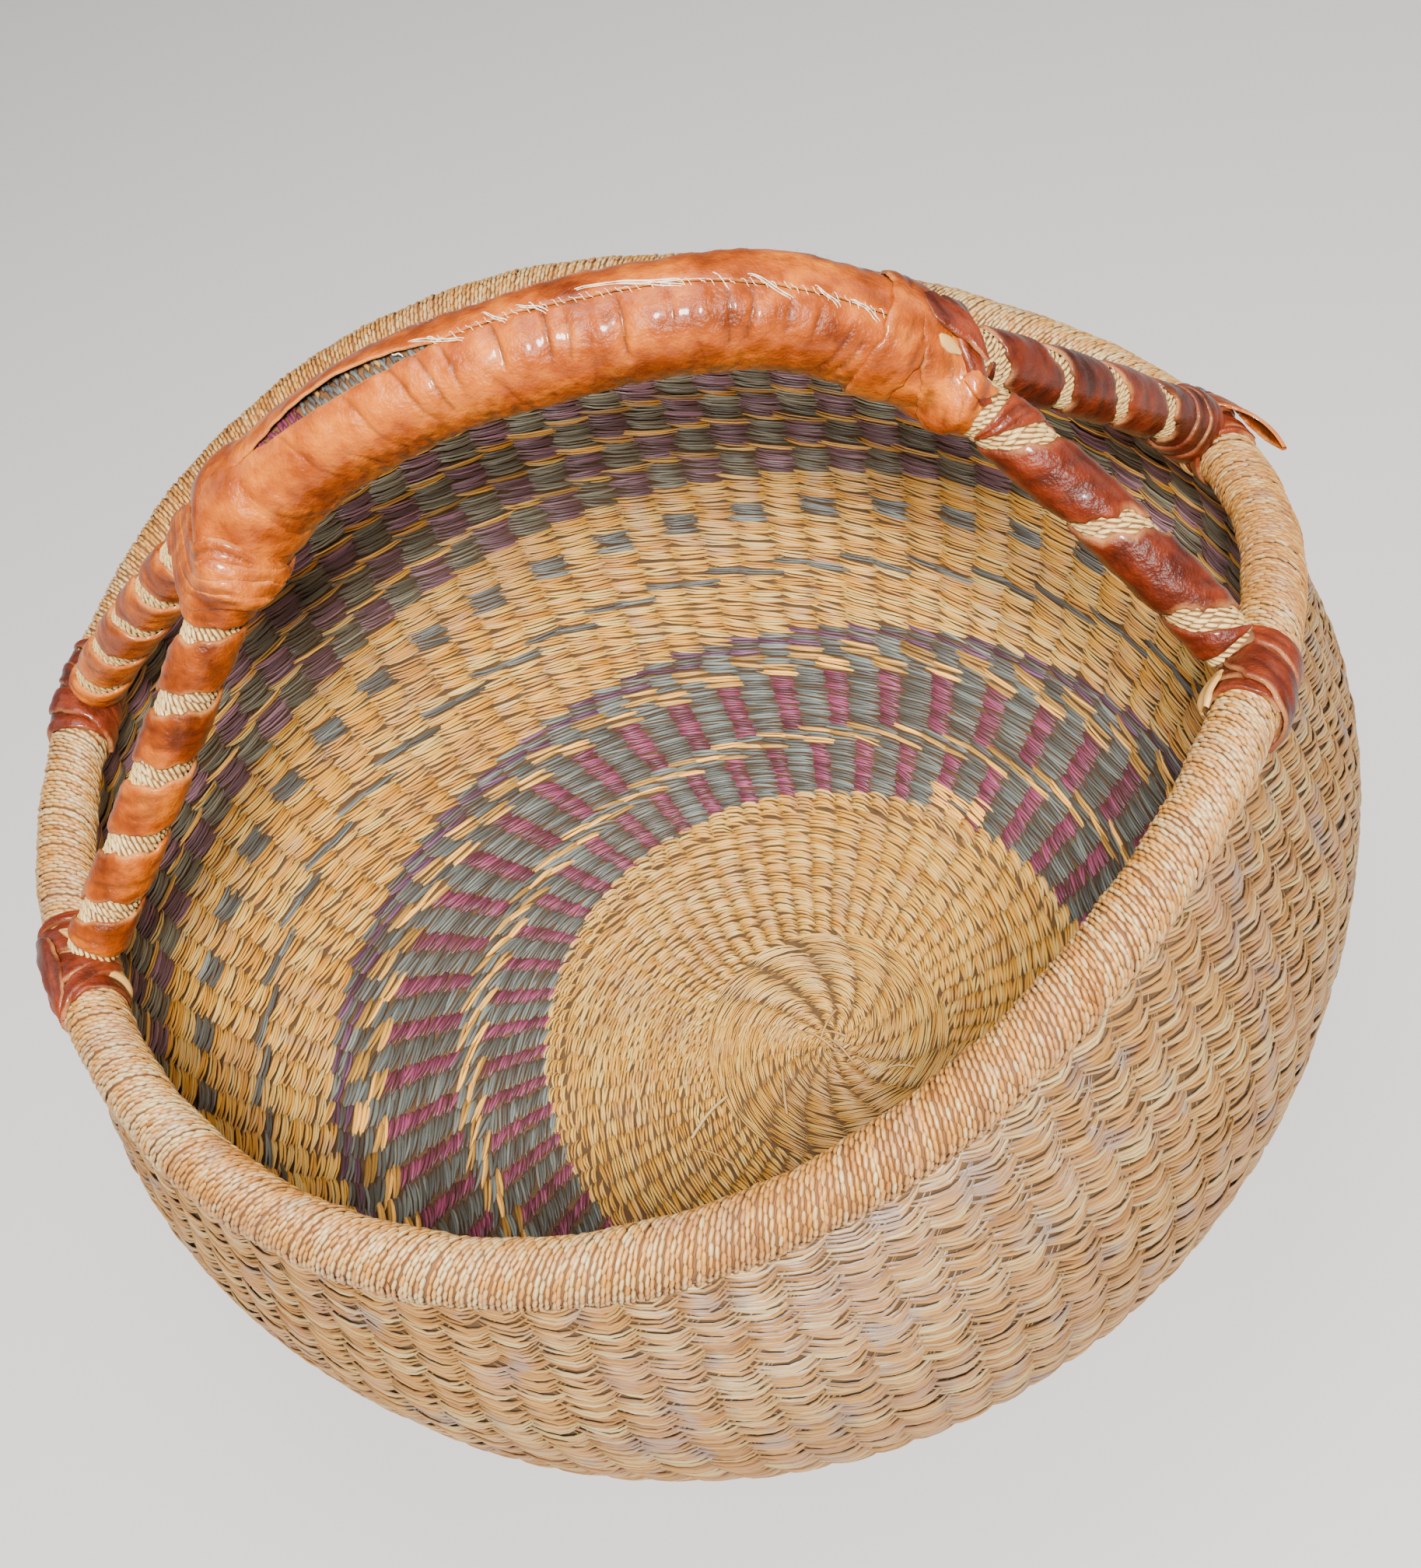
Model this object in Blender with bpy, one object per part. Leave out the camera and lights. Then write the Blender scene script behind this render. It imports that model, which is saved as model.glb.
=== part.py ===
"""A round woven straw basket with a forked handle.

The twined bowl runs up into a straw-wrapped rim roll. The handle is a thick straw grip in a sewn
leather sleeve, which forks at each end into two straw-wrapped legs. A leather strip winds down each
leg, and each leg stands on the rim, where another strip is wound round the roll and through the weave.
The origin is at the bottom centre of the basket, +X is the handle's right end and -Y is the front.
"""
import math

import bmesh
import bpy
import numpy as np

# Sizes of the whole basket, in metres. A name that ends in share holds a ratio, not a length.
GAP = 0.0003
BOWL_HEIGHT = 0.224
GRIP_HEIGHT = 0.357

# Woven bowl: a flat foot, a round belly and a wall that draws in to the rim.
FOOT_RADIUS = 0.083
BELLY_RADIUS = 0.2084
BELLY_HEIGHT = 0.1605
RIM_RADIUS = 0.190
BELLY_POWER = 1.95
SHOULDER_POWER = 1.5
BELLY_RINGS = 7
SHOULDER_RINGS = 3
WALL = 0.0055
WALL_AT_RIM = 0.004
WALL_LEAN = math.radians(22)

# Rim roll: a straw bundle wrapped in straw, pulled out of round and wavy by hand.
RIM_OFFSET_X = -0.0092
RIM_OVAL_SHARES = ((2, -0.0121, 0.0216), (3, -0.0048, 0.0258))
RIM_WAVE = 0.0175
RIM_WAVE_SHARES = ((1, 0.457, -0.669), (2, -0.263, -0.960), (3, 0.229, -0.269))
RIM_PULL_POWER = 1.5
RIM_BUNDLE_RADIUS = 0.0060
RIM_ROLL_RADIUS = 0.0088
RIM_STATIONS = 60
BUNDLE_SIDES = 8
ROLL_OUTER_POINTS = 12
ROLL_INNER_POINTS = 8

# Grip: an arch in an upright plane, turned a little about the bowl's axis.
GRIP_TOP_X = 0.013
GRIP_LEFT_REACH = 0.108
GRIP_LEFT_DROP = 0.0336
GRIP_RIGHT_REACH = 0.075
GRIP_RIGHT_DROP = 0.0306
GRIP_TURN = math.radians(2.6)
ARCH_POWER = 2.48
GRIP_CORE_RADIUS = 0.0130
GRIP_RADIUS = 0.0150
GRIP_STATIONS = 19
CORE_SIDES = 12
SLEEVE_OUTER_POINTS = 15
SLEEVE_INNER_POINTS = 12
SEAM_BACKWARD_TILT = math.radians(38)
SEAM_GAP = 0.0005
SPLIT_WIDTH = 0.0050
SPLIT_CENTRE_SHARE = 0.17
SPLIT_HALF_SHARE = 0.15

# Legs: straw bundles wrapped in straw, two at each end of the grip.
LEG_RADIUS = 0.0076
LEG_CORE_RADIUS = 0.0056
LEG_SPACING = 0.0157
LEG_TOP_PULL = 0.026
LEG_UPWARD_BOW = 0.008
LEG_INWARD_BOW = 0.004
LEG_FOOT_SHARE = 0.35
LEG_STATIONS = 7
LEG_SIDES = 12
FOOT_SEARCH_TURN = math.radians(9)

# Each leg: where it stands on the rim, how far it runs on from the grip and bows, as shares of the
# lengths above, and how its leather strip is wound: where it starts, which way round, and its pitch.
LEG_STRIP_PITCH = 0.0243
LEGS = {
    "left_front": {"foot": math.radians(200.3), "pull_share": 0.31, "up_share": -0.12, "in_share": 1.0,
                   "start": math.radians(187), "hand_share": 1, "pitch_share": 1.0},
    "left_back": {"foot": math.radians(167.0), "pull_share": 0.54, "up_share": 0.88, "in_share": -0.5,
                  "start": math.radians(27), "hand_share": 1, "pitch_share": 0.93},
    "right_front": {"foot": math.radians(-18.5), "pull_share": 0.92, "up_share": 0.75, "in_share": 0.25,
                    "start": math.radians(203), "hand_share": -1, "pitch_share": 1.44},
    "right_back": {"foot": math.radians(22.5), "pull_share": 1.0, "up_share": 1.0, "in_share": -0.75,
                   "start": math.radians(143), "hand_share": 1, "pitch_share": 1.25},
}

# Leather strips: the one down a leg leaves a band of straw showing between its turns.
STRIP_THICKNESS = 0.0012
STRAW_BAND = 0.0070
STRIP_END_WIDTH = 0.0012
POINTS_PER_LOOP = 18

# Lashing: a strip wound round the rim roll under each leg.
LASHING_LOOPS = 3
LASHING_PITCH = 0.0114
LASHING_TURN_GAP = 0.0009
LASHING_SEAT = 0.0006

# Collars: leather bound over the grip's end and both legs' tops.
COLLAR_THICKNESS = 0.0016
COLLAR_ON_GRIP_LENGTH = 0.018
COLLAR_ON_LEGS_LENGTH = 0.022
COLLAR_ON_GRIP_SHARES = {"left": 0.45, "right": 1.0}
COLLAR_ON_LEGS_SHARES = {"left": 1.0, "right": 0.73}
COLLAR_STATIONS = 8
COLLAR_CAP_POINTS = 10
COLLAR_SPREAD_RATE = 1.7

UP = np.array([0.0, 0.0, 1.0])
LEVEL = 1 - UP

for old in list(bpy.data.objects):
    bpy.data.objects.remove(old, do_unlink=True)

basket = bpy.data.objects.new("basket", None)
bpy.context.scene.collection.objects.link(basket)


def unit(vector):
    """The vector at length one."""
    return vector / np.linalg.norm(vector)


def material(name, colour, roughness):
    """A plain finish in the piece's own colour."""
    finish = bpy.data.materials.new(name)
    finish.use_nodes = True
    shader = finish.node_tree.nodes["Principled BSDF"]
    shader.inputs["Base Color"].default_value = (*colour, 1)
    shader.inputs["Roughness"].default_value = roughness
    shader.inputs["Metallic"].default_value = 0
    return finish


def loft(name, rings, finish, loop=False, end_point=None):
    """A closed body through rings of points. A loop joins the last ring to the first."""
    shape = bmesh.new()
    rows = [[shape.verts.new(point) for point in ring] for ring in rings]
    pairs = list(zip(rows, rows[1:]))
    if loop:
        pairs.append((rows[-1], rows[0]))
    for low, high in pairs:
        for i in range(len(low)):
            j = (i + 1) % len(low)
            shape.faces.new((low[i], low[j], high[j], high[i]))
    if not loop:
        shape.faces.new(rows[0])
        if end_point is None:
            shape.faces.new(rows[-1])
        else:
            tip = shape.verts.new(end_point)
            for i, corner in enumerate(rows[-1]):
                shape.faces.new((corner, rows[-1][(i + 1) % len(rows[-1])], tip))
    bmesh.ops.recalc_face_normals(shape, faces=shape.faces)
    mesh = bpy.data.meshes.new(name)
    shape.to_mesh(mesh)
    shape.free()
    mesh.shade_smooth()
    mesh.set_sharp_from_angle(angle=math.radians(50))
    mesh.materials.append(finish)
    piece = bpy.data.objects.new(name, mesh)
    bpy.context.scene.collection.objects.link(piece)
    piece.parent = basket
    return piece


def rim_point(turn):
    """The rim roll's centre line at an angle about the bowl's axis."""
    oval = 1 + sum(c * math.cos(n * turn) + s * math.sin(n * turn) for n, c, s in RIM_OVAL_SHARES)
    wave = sum(c * math.cos(n * turn) + s * math.sin(n * turn) for n, c, s in RIM_WAVE_SHARES)
    radius = RIM_RADIUS * oval
    return np.array([RIM_OFFSET_X + radius * math.cos(turn), radius * math.sin(turn),
                     BOWL_HEIGHT + RIM_WAVE * wave])


def rim_frame(turn):
    """Centre, outward, upward and along directions of the rim roll."""
    step = math.radians(0.5)
    centre = rim_point(turn)
    along = unit(rim_point(turn + step) - rim_point(turn - step))
    outward = unit(np.cross(along, UP))
    return centre, outward, np.cross(outward, along), along


def wall_direction(outward, upward):
    """The way the woven wall leaves the rim roll, down and out towards the belly."""
    return math.sin(WALL_LEAN) * outward - math.cos(WALL_LEAN) * upward


def wall_outline(stage):
    """Radius and height of the outer side: stage 0 at the foot, 1 at the belly, 2 at the rim."""
    if stage < 1:
        angle = stage * math.pi / 2
        return np.array([
            FOOT_RADIUS + (BELLY_RADIUS - FOOT_RADIUS) * math.sin(angle) ** (2 / BELLY_POWER),
            BELLY_HEIGHT * (1 - math.cos(angle) ** (2 / BELLY_POWER))])
    rise = stage - 1
    return np.array([BELLY_RADIUS - (BELLY_RADIUS - RIM_RADIUS) * rise ** SHOULDER_POWER,
                     BELLY_HEIGHT + (BOWL_HEIGHT - BELLY_HEIGHT) * rise])


def wall_ring(stage, depth, turns):
    """One ring of the wall, pulled out of round as the rim is, more and more towards the top."""
    step = 0.01
    along = unit(wall_outline(stage + step) - wall_outline(max(stage - step, 0)))
    radius, height = wall_outline(stage) + depth * np.array([-along[1], along[0]])
    pull = (wall_outline(stage)[1] / BOWL_HEIGHT) ** RIM_PULL_POWER
    ring = []
    for turn in turns:
        round_rim = np.array([RIM_RADIUS * math.cos(turn), RIM_RADIUS * math.sin(turn), BOWL_HEIGHT])
        place = np.array([radius * math.cos(turn), radius * math.sin(turn), height])
        ring.append(place + pull * (rim_point(turn) - round_rim))
    return ring


def rim_edge_ring(distance, side, turns):
    """One ring of the wall's top, along the line on which it runs into the rim roll."""
    ring = []
    for turn in turns:
        centre, outward, upward, along = rim_frame(turn)
        down = wall_direction(outward, upward)
        ring.append(centre + distance * down + side * np.cross(down, along))
    return ring


def woven_bowl(finish):
    """The bowl's outer side, its top edge inside the rim roll, and its inner side down to the floor."""
    turns = [2 * math.pi * i / RIM_STATIONS for i in range(RIM_STATIONS)]
    half = WALL_AT_RIM / 2
    top = RIM_BUNDLE_RADIUS + GAP
    below_roll = RIM_ROLL_RADIUS + WALL_AT_RIM
    centre, outward, upward, along = rim_frame(0)
    outer = half if np.cross(wall_direction(outward, upward), along) @ outward > 0 else -half
    stages = list(np.linspace(0, 1, BELLY_RINGS, endpoint=False))
    stages += list(np.linspace(1, 2, SHOULDER_RINGS, endpoint=False))
    rings = [wall_ring(stage, 0, turns) for stage in stages]
    rings += [rim_edge_ring(below_roll, outer, turns), rim_edge_ring(top, outer, turns)]
    rings += [rim_edge_ring(top, -outer, turns), rim_edge_ring(below_roll, -outer, turns)]
    rings += [wall_ring(stage, WALL, turns) for stage in reversed(stages)]
    return loft("woven_bowl", rings, finish)


def rim_bundle(finish):
    """The bundle of stake ends and straw that fills the rim roll."""
    rings = []
    for i in range(RIM_STATIONS):
        centre, outward, upward, along = rim_frame(2 * math.pi * i / RIM_STATIONS)
        angles = [2 * math.pi * (k + 0.5) / BUNDLE_SIDES for k in range(BUNDLE_SIDES)]
        rings.append([centre + RIM_BUNDLE_RADIUS * (math.cos(a) * outward + math.sin(a) * upward)
                      for a in angles])
    return loft("rim_bundle", rings, finish, loop=True)


def open_ring(outer_radius, inner_radius, opening, facing, outer_count, inner_count):
    """Points of a ring's section with a parallel-sided opening, as (radius, angle) pairs."""
    outer_edge = math.asin(opening / 2 / outer_radius)
    inner_edge = math.asin(opening / 2 / inner_radius)
    outer = [(outer_radius, facing + a)
             for a in np.linspace(outer_edge, 2 * math.pi - outer_edge, outer_count)]
    inner = [(inner_radius, facing + a)
             for a in np.linspace(2 * math.pi - inner_edge, inner_edge, inner_count)]
    return outer + inner


def rim_wrapping(finish):
    """The straw wrapped round the bundle, open below where the woven wall runs in."""
    chord_share = math.cos(math.pi / (ROLL_INNER_POINTS - 1))
    inner_radius = (RIM_BUNDLE_RADIUS + GAP) / chord_share
    facing = WALL_LEAN - math.pi / 2
    section = open_ring(RIM_ROLL_RADIUS, inner_radius, WALL_AT_RIM + 2 * GAP, facing,
                        ROLL_OUTER_POINTS, ROLL_INNER_POINTS)
    rings = []
    for i in range(RIM_STATIONS):
        centre, outward, upward, along = rim_frame(2 * math.pi * i / RIM_STATIONS)
        rings.append([centre + r * (math.cos(a) * outward + math.sin(a) * upward)
                      for r, a in section])
    return loft("rim_wrapping", rings, finish, loop=True)


def grip_point(across):
    """The grip's centre line at a distance along X from its highest point."""
    reach, drop = (GRIP_LEFT_REACH, GRIP_LEFT_DROP) if across < 0 else (GRIP_RIGHT_REACH, GRIP_RIGHT_DROP)
    x = GRIP_TOP_X + across
    return np.array([x * math.cos(GRIP_TURN), x * math.sin(GRIP_TURN),
                     GRIP_HEIGHT - drop * (abs(across) / reach) ** ARCH_POWER])


class Route:
    """A centre line with its own directions, read by the distance along it."""

    def __init__(self, points, first_side):
        self.points = np.array(points)
        self.distance = np.concatenate(
            [[0], np.cumsum(np.linalg.norm(np.diff(self.points, axis=0), axis=1))])
        self.length = self.distance[-1]
        self.along = np.array([unit(v) for v in np.gradient(self.points, self.distance, axis=0)])
        sides = [unit(first_side - (first_side @ self.along[0]) * self.along[0])]
        for along in self.along[1:]:
            sides.append(unit(sides[-1] - (sides[-1] @ along) * along))
        self.side = np.array(sides)

    def at(self, distance):
        """Centre, first and second cross directions, and the direction along."""
        centre, side, along = (np.array([np.interp(distance, self.distance, column)
                                         for column in table.T])
                               for table in (self.points, self.side, self.along))
        along = unit(along)
        side = unit(side - (side @ along) * along)
        return centre, side, np.cross(along, side), along

    def beyond(self, distance):
        """Like at, but straight on past either end."""
        held = min(max(distance, 0), self.length)
        centre, side, other, along = self.at(held)
        return centre + (distance - held) * along, side, other, along


def grip_route():
    """The grip's centre line from its left end to its right. Its first cross direction points up."""
    fine = [grip_point(x) for x in np.linspace(-GRIP_LEFT_REACH, GRIP_RIGHT_REACH, 161)]
    return Route(fine, UP)


def tube_ring(route, distance, section):
    """A ring of (radius, angle) points about a route, at angles from its first cross direction."""
    centre, side, other, along = route.beyond(distance)
    return [centre + r * (math.cos(a) * side + math.sin(a) * other) for r, a in section]


def round_section(radius, sides):
    """A full circle as (radius, angle) pairs."""
    return [(radius, 2 * math.pi * i / sides) for i in range(sides)]


def grip_core(route, finish):
    """The thick straw bundle inside the leather sleeve."""
    rings = [tube_ring(route, s, round_section(GRIP_CORE_RADIUS, CORE_SIDES))
             for s in np.linspace(0, route.length, GRIP_STATIONS)]
    return loft("grip_core", rings, finish)


def split_opening(share):
    """Width of the sleeve's seam: drawn together, but burst open towards the left end."""
    offset = abs(share - SPLIT_CENTRE_SHARE) / SPLIT_HALF_SHARE
    bulge = math.cos(offset * math.pi / 2) ** 2 if offset < 1 else 0
    return SEAM_GAP + (SPLIT_WIDTH - SEAM_GAP) * bulge


def grip_sleeve(route, finish):
    """One sheet of leather rolled round the core, its two edges meeting at the seam."""
    chord_share = math.cos(math.pi / (SLEEVE_INNER_POINTS - 1))
    inner_radius = (GRIP_CORE_RADIUS + GAP) / chord_share
    rings = []
    for share in np.linspace(0, 1, GRIP_STATIONS):
        section = open_ring(GRIP_RADIUS, inner_radius, split_opening(share), -SEAM_BACKWARD_TILT,
                            SLEEVE_OUTER_POINTS, SLEEVE_INNER_POINTS)
        rings.append(tube_ring(route, share * route.length, section))
    return loft("grip_sleeve", rings, finish, loop=False)


def leg_route(grip, end, name):
    """A leg's centre line, from its top beside its twin to the middle of the rim roll."""
    centre, side, other, along = grip.at(0 if end == "left" else grip.length)
    forward = -along if end == "left" else along
    back = unit(np.cross(UP, unit(grip.points[-1] - grip.points[0])))
    twin = -1 if name.endswith("front") else 1
    top = centre + GAP * forward + twin * LEG_SPACING / 2 * back
    leg = LEGS[name]
    foot = rim_point(leg["foot"])
    first = top + leg["pull_share"] * LEG_TOP_PULL * forward
    inward = unit((centre - foot) * LEVEL)
    second = (foot + LEG_FOOT_SHARE * (first - foot) + leg["up_share"] * LEG_UPWARD_BOW * UP
              + leg["in_share"] * LEG_INWARD_BOW * inward)
    fine = [(1 - u) ** 3 * top + 3 * u * (1 - u) ** 2 * first + 3 * u ** 2 * (1 - u) * second
            + u ** 3 * foot for u in np.linspace(0, 1, 121)]
    return Route(fine, back)


def lashing_radii():
    """Inner and outer radius of the strip wound round the rim roll."""
    inner = (RIM_ROLL_RADIUS + LASHING_SEAT) / math.cos(math.pi / POINTS_PER_LOOP)
    return inner, inner + STRIP_THICKNESS


def distance_to_rim(point, name):
    """Distance from a point near a leg's foot to the rim roll's centre line."""
    turns = LEGS[name]["foot"] + np.linspace(-FOOT_SEARCH_TURN, FOOT_SEARCH_TURN, 61)
    return min(np.linalg.norm(point - rim_point(turn)) for turn in turns)


def onto_lashing(point, toward, name):
    """Where a line from a point of the leg first meets the space taken by the lashing."""
    radius = lashing_radii()[1] + GAP
    outside, inside = 0.0, radius
    while inside - outside > GAP / 100:
        middle = (outside + inside) / 2
        if distance_to_rim(point + middle * toward, name) > radius:
            outside = middle
        else:
            inside = middle
    return point + outside * toward


def clear_of_lashing(route, name, radius):
    """Distance along a slanting leg at which a ring about it is still just clear of the lashing."""
    lean = abs(route.at(route.length)[3] @ rim_frame(LEGS[name]["foot"])[3])
    return route.length - (lashing_radii()[1] + 2 * GAP + radius * lean) / math.sqrt(1 - lean ** 2)


def leg_rings(route, name, radius, sides, stations):
    """Rings down a leg, with the last one laid onto the lashing it stands on."""
    last = clear_of_lashing(route, name, LEG_RADIUS)
    rings = [tube_ring(route, s, round_section(radius, sides)) for s in np.linspace(0, last, stations)]
    toward = route.at(last)[3]
    rings.append([onto_lashing(point, toward, name) for point in rings[-1]])
    return rings


def leg_core(route, name, finish):
    """The straw bundle inside a leg."""
    rings = leg_rings(route, name, LEG_CORE_RADIUS, BUNDLE_SIDES, LEG_STATIONS)
    last = clear_of_lashing(route, name, LEG_RADIUS)
    centre, side, other, toward = route.at(last)
    half = tube_ring(route, last, round_section(LEG_CORE_RADIUS / 2, BUNDLE_SIDES))
    rings.append([onto_lashing(point, toward, name) for point in half])
    return loft("leg_core_" + name, rings, finish, end_point=onto_lashing(centre, toward, name))


def leg_wrapping(route, name, finish):
    """The straw wound closely round a leg, a tube open at both ends."""
    chord_share = math.cos(math.pi / LEG_SIDES)
    inner_radius = (LEG_CORE_RADIUS + GAP) / chord_share
    outer = leg_rings(route, name, LEG_RADIUS, LEG_SIDES, LEG_STATIONS)
    inner = leg_rings(route, name, inner_radius, LEG_SIDES, LEG_STATIONS)
    return loft("leg_wrapping_" + name, outer + inner[::-1], finish, loop=True)


def strip_rings(frame_at, start, end, pitch, width, inner_radius, first_angle, hand):
    """Sections of one unbroken strip wound in a helix, narrowing to nothing at both ends."""
    first = start - width / 2 + STRIP_END_WIDTH
    last = end + width / 2 - STRIP_END_WIDTH
    steps = round((last - first) / pitch * POINTS_PER_LOOP)
    shoulder_share = 0.6
    rings = []
    for i in range(steps + 1):
        middle = first + pitch * i / POINTS_PER_LOOP
        low = max(middle - width / 2, start)
        high = min(middle + width / 2, end)
        angle = first_angle + hand * 2 * math.pi * i / POINTS_PER_LOOP
        shoulder = inner_radius + shoulder_share * STRIP_THICKNESS
        crown = inner_radius + STRIP_THICKNESS
        outline = ((low, inner_radius), (high, inner_radius), (high, shoulder),
                   ((low + high) / 2, crown), (low, shoulder))
        ring = []
        for distance, radius in outline:
            centre, side, other = frame_at(distance)
            ring.append(centre + radius * (math.cos(angle) * side + math.sin(angle) * other))
        rings.append(ring)
    return rings


def least_self_gap(rings):
    """The least distance between points of the winding that lie at least half a loop apart."""
    points = np.array(rings)
    least = math.inf
    for i in range(len(points)):
        later = points[i + POINTS_PER_LOOP // 2:]
        if len(later):
            apart = later[:, :, None, :] - points[i][None, None, :, :]
            least = min(least, float(np.sqrt((apart ** 2).sum(axis=3)).min()))
    return least


def wound_strip(name, rings, finish):
    """A wound strip as a closed body, with its loops and its least gap to itself printed."""
    loops = (len(rings) - 1) / POINTS_PER_LOOP
    print(f"{name}: {loops:.1f} loops, least gap to itself {least_self_gap(rings) * 1000:.2f} mm")
    return loft(name, rings, finish)


def collar_reach(end):
    """How far a collar reaches up the grip and down the legs."""
    return (COLLAR_ON_GRIP_SHARES[end] * COLLAR_ON_GRIP_LENGTH,
            COLLAR_ON_LEGS_SHARES[end] * COLLAR_ON_LEGS_LENGTH)


def leg_strip(route, twin, name, finish):
    """The leather strip wound down a leg, from the collar's slanting mouth to the foot."""
    leg = LEGS[name]
    pitch = leg["pitch_share"] * LEG_STRIP_PITCH
    inner_radius = (LEG_RADIUS + GAP) / math.cos(math.pi / POINTS_PER_LOOP)
    mouth = collar_reach(name.split("_")[0])[1]
    along = route.at(mouth)[3]
    slant = math.acos(min(along @ unit(along + twin.at(mouth)[3]), 1))
    start = mouth + 2 * GAP + (inner_radius + STRIP_THICKNESS) * math.tan(slant)
    end = clear_of_lashing(route, name, inner_radius + STRIP_THICKNESS)

    def frame_at(distance):
        return route.at(distance)[:3]

    rings = strip_rings(frame_at, start, end, pitch, pitch - STRAW_BAND, inner_radius, leg["start"],
                        leg["hand_share"])
    return wound_strip("leg_strip_" + name, rings, finish)


def lashing_half_length():
    """Half of the stretch of rim that a lashing covers."""
    return LASHING_LOOPS * LASHING_PITCH / 2


def rim_distance_frame(name):
    """Reads the rim roll by the distance along it from a leg's foot."""
    foot_turn = LEGS[name]["foot"]
    step = math.radians(0.5)
    speed = np.linalg.norm(rim_point(foot_turn + step) - rim_point(foot_turn - step)) / (2 * step)
    return lambda distance: rim_frame(foot_turn + distance / speed)


def lashing(name, finish):
    """The leather strip wound round the rim roll under a leg, through slots parted in the weave."""
    frame_at = rim_distance_frame(name)
    half = lashing_half_length()
    width = LASHING_PITCH - LASHING_TURN_GAP
    rings = strip_rings(lambda distance: frame_at(distance)[:3], -half, half, LASHING_PITCH, width,
                        lashing_radii()[0], WALL_LEAN, 1)
    return wound_strip("lashing_" + name, rings, finish)


def part_weave(bowl, name, finish):
    """Parts the weave below the rim roll, so that a lashing can pass through the wall."""
    frame_at = rim_distance_frame(name)
    inner, outer = lashing_radii()
    near = inner * math.cos(math.asin(WALL_AT_RIM / 2 / inner)) - 2 * GAP
    far = outer + 2 * GAP
    reach = lashing_half_length() + 2 * GAP
    rings = []
    for distance in np.linspace(-reach, reach, 5):
        centre, outward, upward, along = frame_at(distance)
        down = wall_direction(outward, upward)
        across = WALL * np.cross(down, along)
        rings.append([centre + near * down - across, centre + near * down + across,
                      centre + far * down + across, centre + far * down - across])
    cutter = loft("weave_parting_" + name, rings, finish)
    cutter.hide_render = True
    cutter.display_type = "WIRE"
    cut = bowl.modifiers.new("parting_" + name, "BOOLEAN")
    cut.operation = "DIFFERENCE"
    cut.solver = "EXACT"
    cut.object = cutter


def smooth_step(share):
    """Rises from 0 to 1 without a corner."""
    share = min(max(share, 0), 1)
    return share * share * (3 - 2 * share)


def collar_rings(grip, end, front, back, spare):
    """Rings of a collar's surface: round on the grip, flattening to hold two legs side by side."""
    chord_share = math.cos(math.pi / (2 * COLLAR_CAP_POINTS))
    on_grip = (max(GRIP_RADIUS, LEG_SPACING / 2 + LEG_RADIUS) + GAP) / chord_share
    on_legs = (LEG_RADIUS + 2 * GAP) / chord_share
    angles = [math.pi * (k + 0.5) / COLLAR_CAP_POINTS - math.pi / 2 for k in range(COLLAR_CAP_POINTS)]
    rings = []
    up_grip, down_legs = collar_reach(end)
    for distance in np.linspace(-up_grip, down_legs, COLLAR_STATIONS):
        share = distance / down_legs
        if distance < 0:
            place = -distance if end == "left" else grip.length + distance
            centre, side, other, along = grip.at(place)
            along = -along if end == "left" else along
            half = unit(back.at(0)[0] - front.at(0)[0])
            half, spread = unit(half - (half @ along) * along), 0
        else:
            a = front.at(distance)
            b = back.at(distance)
            centre = (a[0] + b[0]) / 2
            along = unit(a[3] + b[3])
            half = b[0] - a[0]
            half = half - (half @ along) * along
            slant_room = LEG_RADIUS * (1 / (a[3] @ along) - 1) + GAP
            spread = (np.linalg.norm(half) / 2 + slant_room) * smooth_step(COLLAR_SPREAD_RATE * share)
            half = unit(half)
        radius = on_grip + (on_legs - on_grip) * smooth_step(share) + spare
        over = np.cross(along, half)
        ring = []
        for sign in (1, -1):
            for angle in angles:
                ring.append(centre + sign * ((spread + radius * math.cos(angle)) * half
                                             + radius * math.sin(angle) * over))
        rings.append(ring)
    return rings


def collar(grip, end, front, back, finish):
    """The leather bound round the fork, a sleeve open at both ends."""
    inner = collar_rings(grip, end, front, back, 0)
    outer = collar_rings(grip, end, front, back, COLLAR_THICKNESS)
    return loft("collar_" + end, outer + inner[::-1], finish, loop=True)


straw = material("straw", (0.62, 0.42, 0.19), 0.75)
bundle_straw = material("bundle_straw", (0.36, 0.24, 0.22), 0.85)
wrapping_straw = material("wrapping_straw", (0.74, 0.58, 0.34), 0.65)
tan_leather = material("tan_leather", (0.50, 0.16, 0.04), 0.35)
dark_leather = material("dark_leather", (0.20, 0.04, 0.025), 0.35)

bowl = woven_bowl(straw)
pieces = [bowl, rim_bundle(bundle_straw), rim_wrapping(wrapping_straw)]

grip = grip_route()
pieces += [grip_core(grip, bundle_straw), grip_sleeve(grip, tan_leather)]

for end in ("left", "right"):
    routes = {side: leg_route(grip, end, end + "_" + side) for side in ("front", "back")}
    pieces.append(collar(grip, end, routes["front"], routes["back"], tan_leather))
    for side, route in routes.items():
        name = end + "_" + side
        twin = routes["back" if side == "front" else "front"]
        strip_leather = tan_leather if end == "left" else dark_leather
        pieces += [leg_core(route, name, bundle_straw), leg_wrapping(route, name, wrapping_straw),
                   leg_strip(route, twin, name, strip_leather), lashing(name, dark_leather)]
        part_weave(bowl, name, straw)

# The bottom centre of everything built so far becomes the origin.
corners = np.array([vertex.co for piece in pieces for vertex in piece.data.vertices])
middle = (corners.min(axis=0) + corners.max(axis=0)) / 2
basket.location = (-middle[0], -middle[1], 0)
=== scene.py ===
"""The looks of a round woven straw basket with a forked leather handle."""
import math

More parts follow.
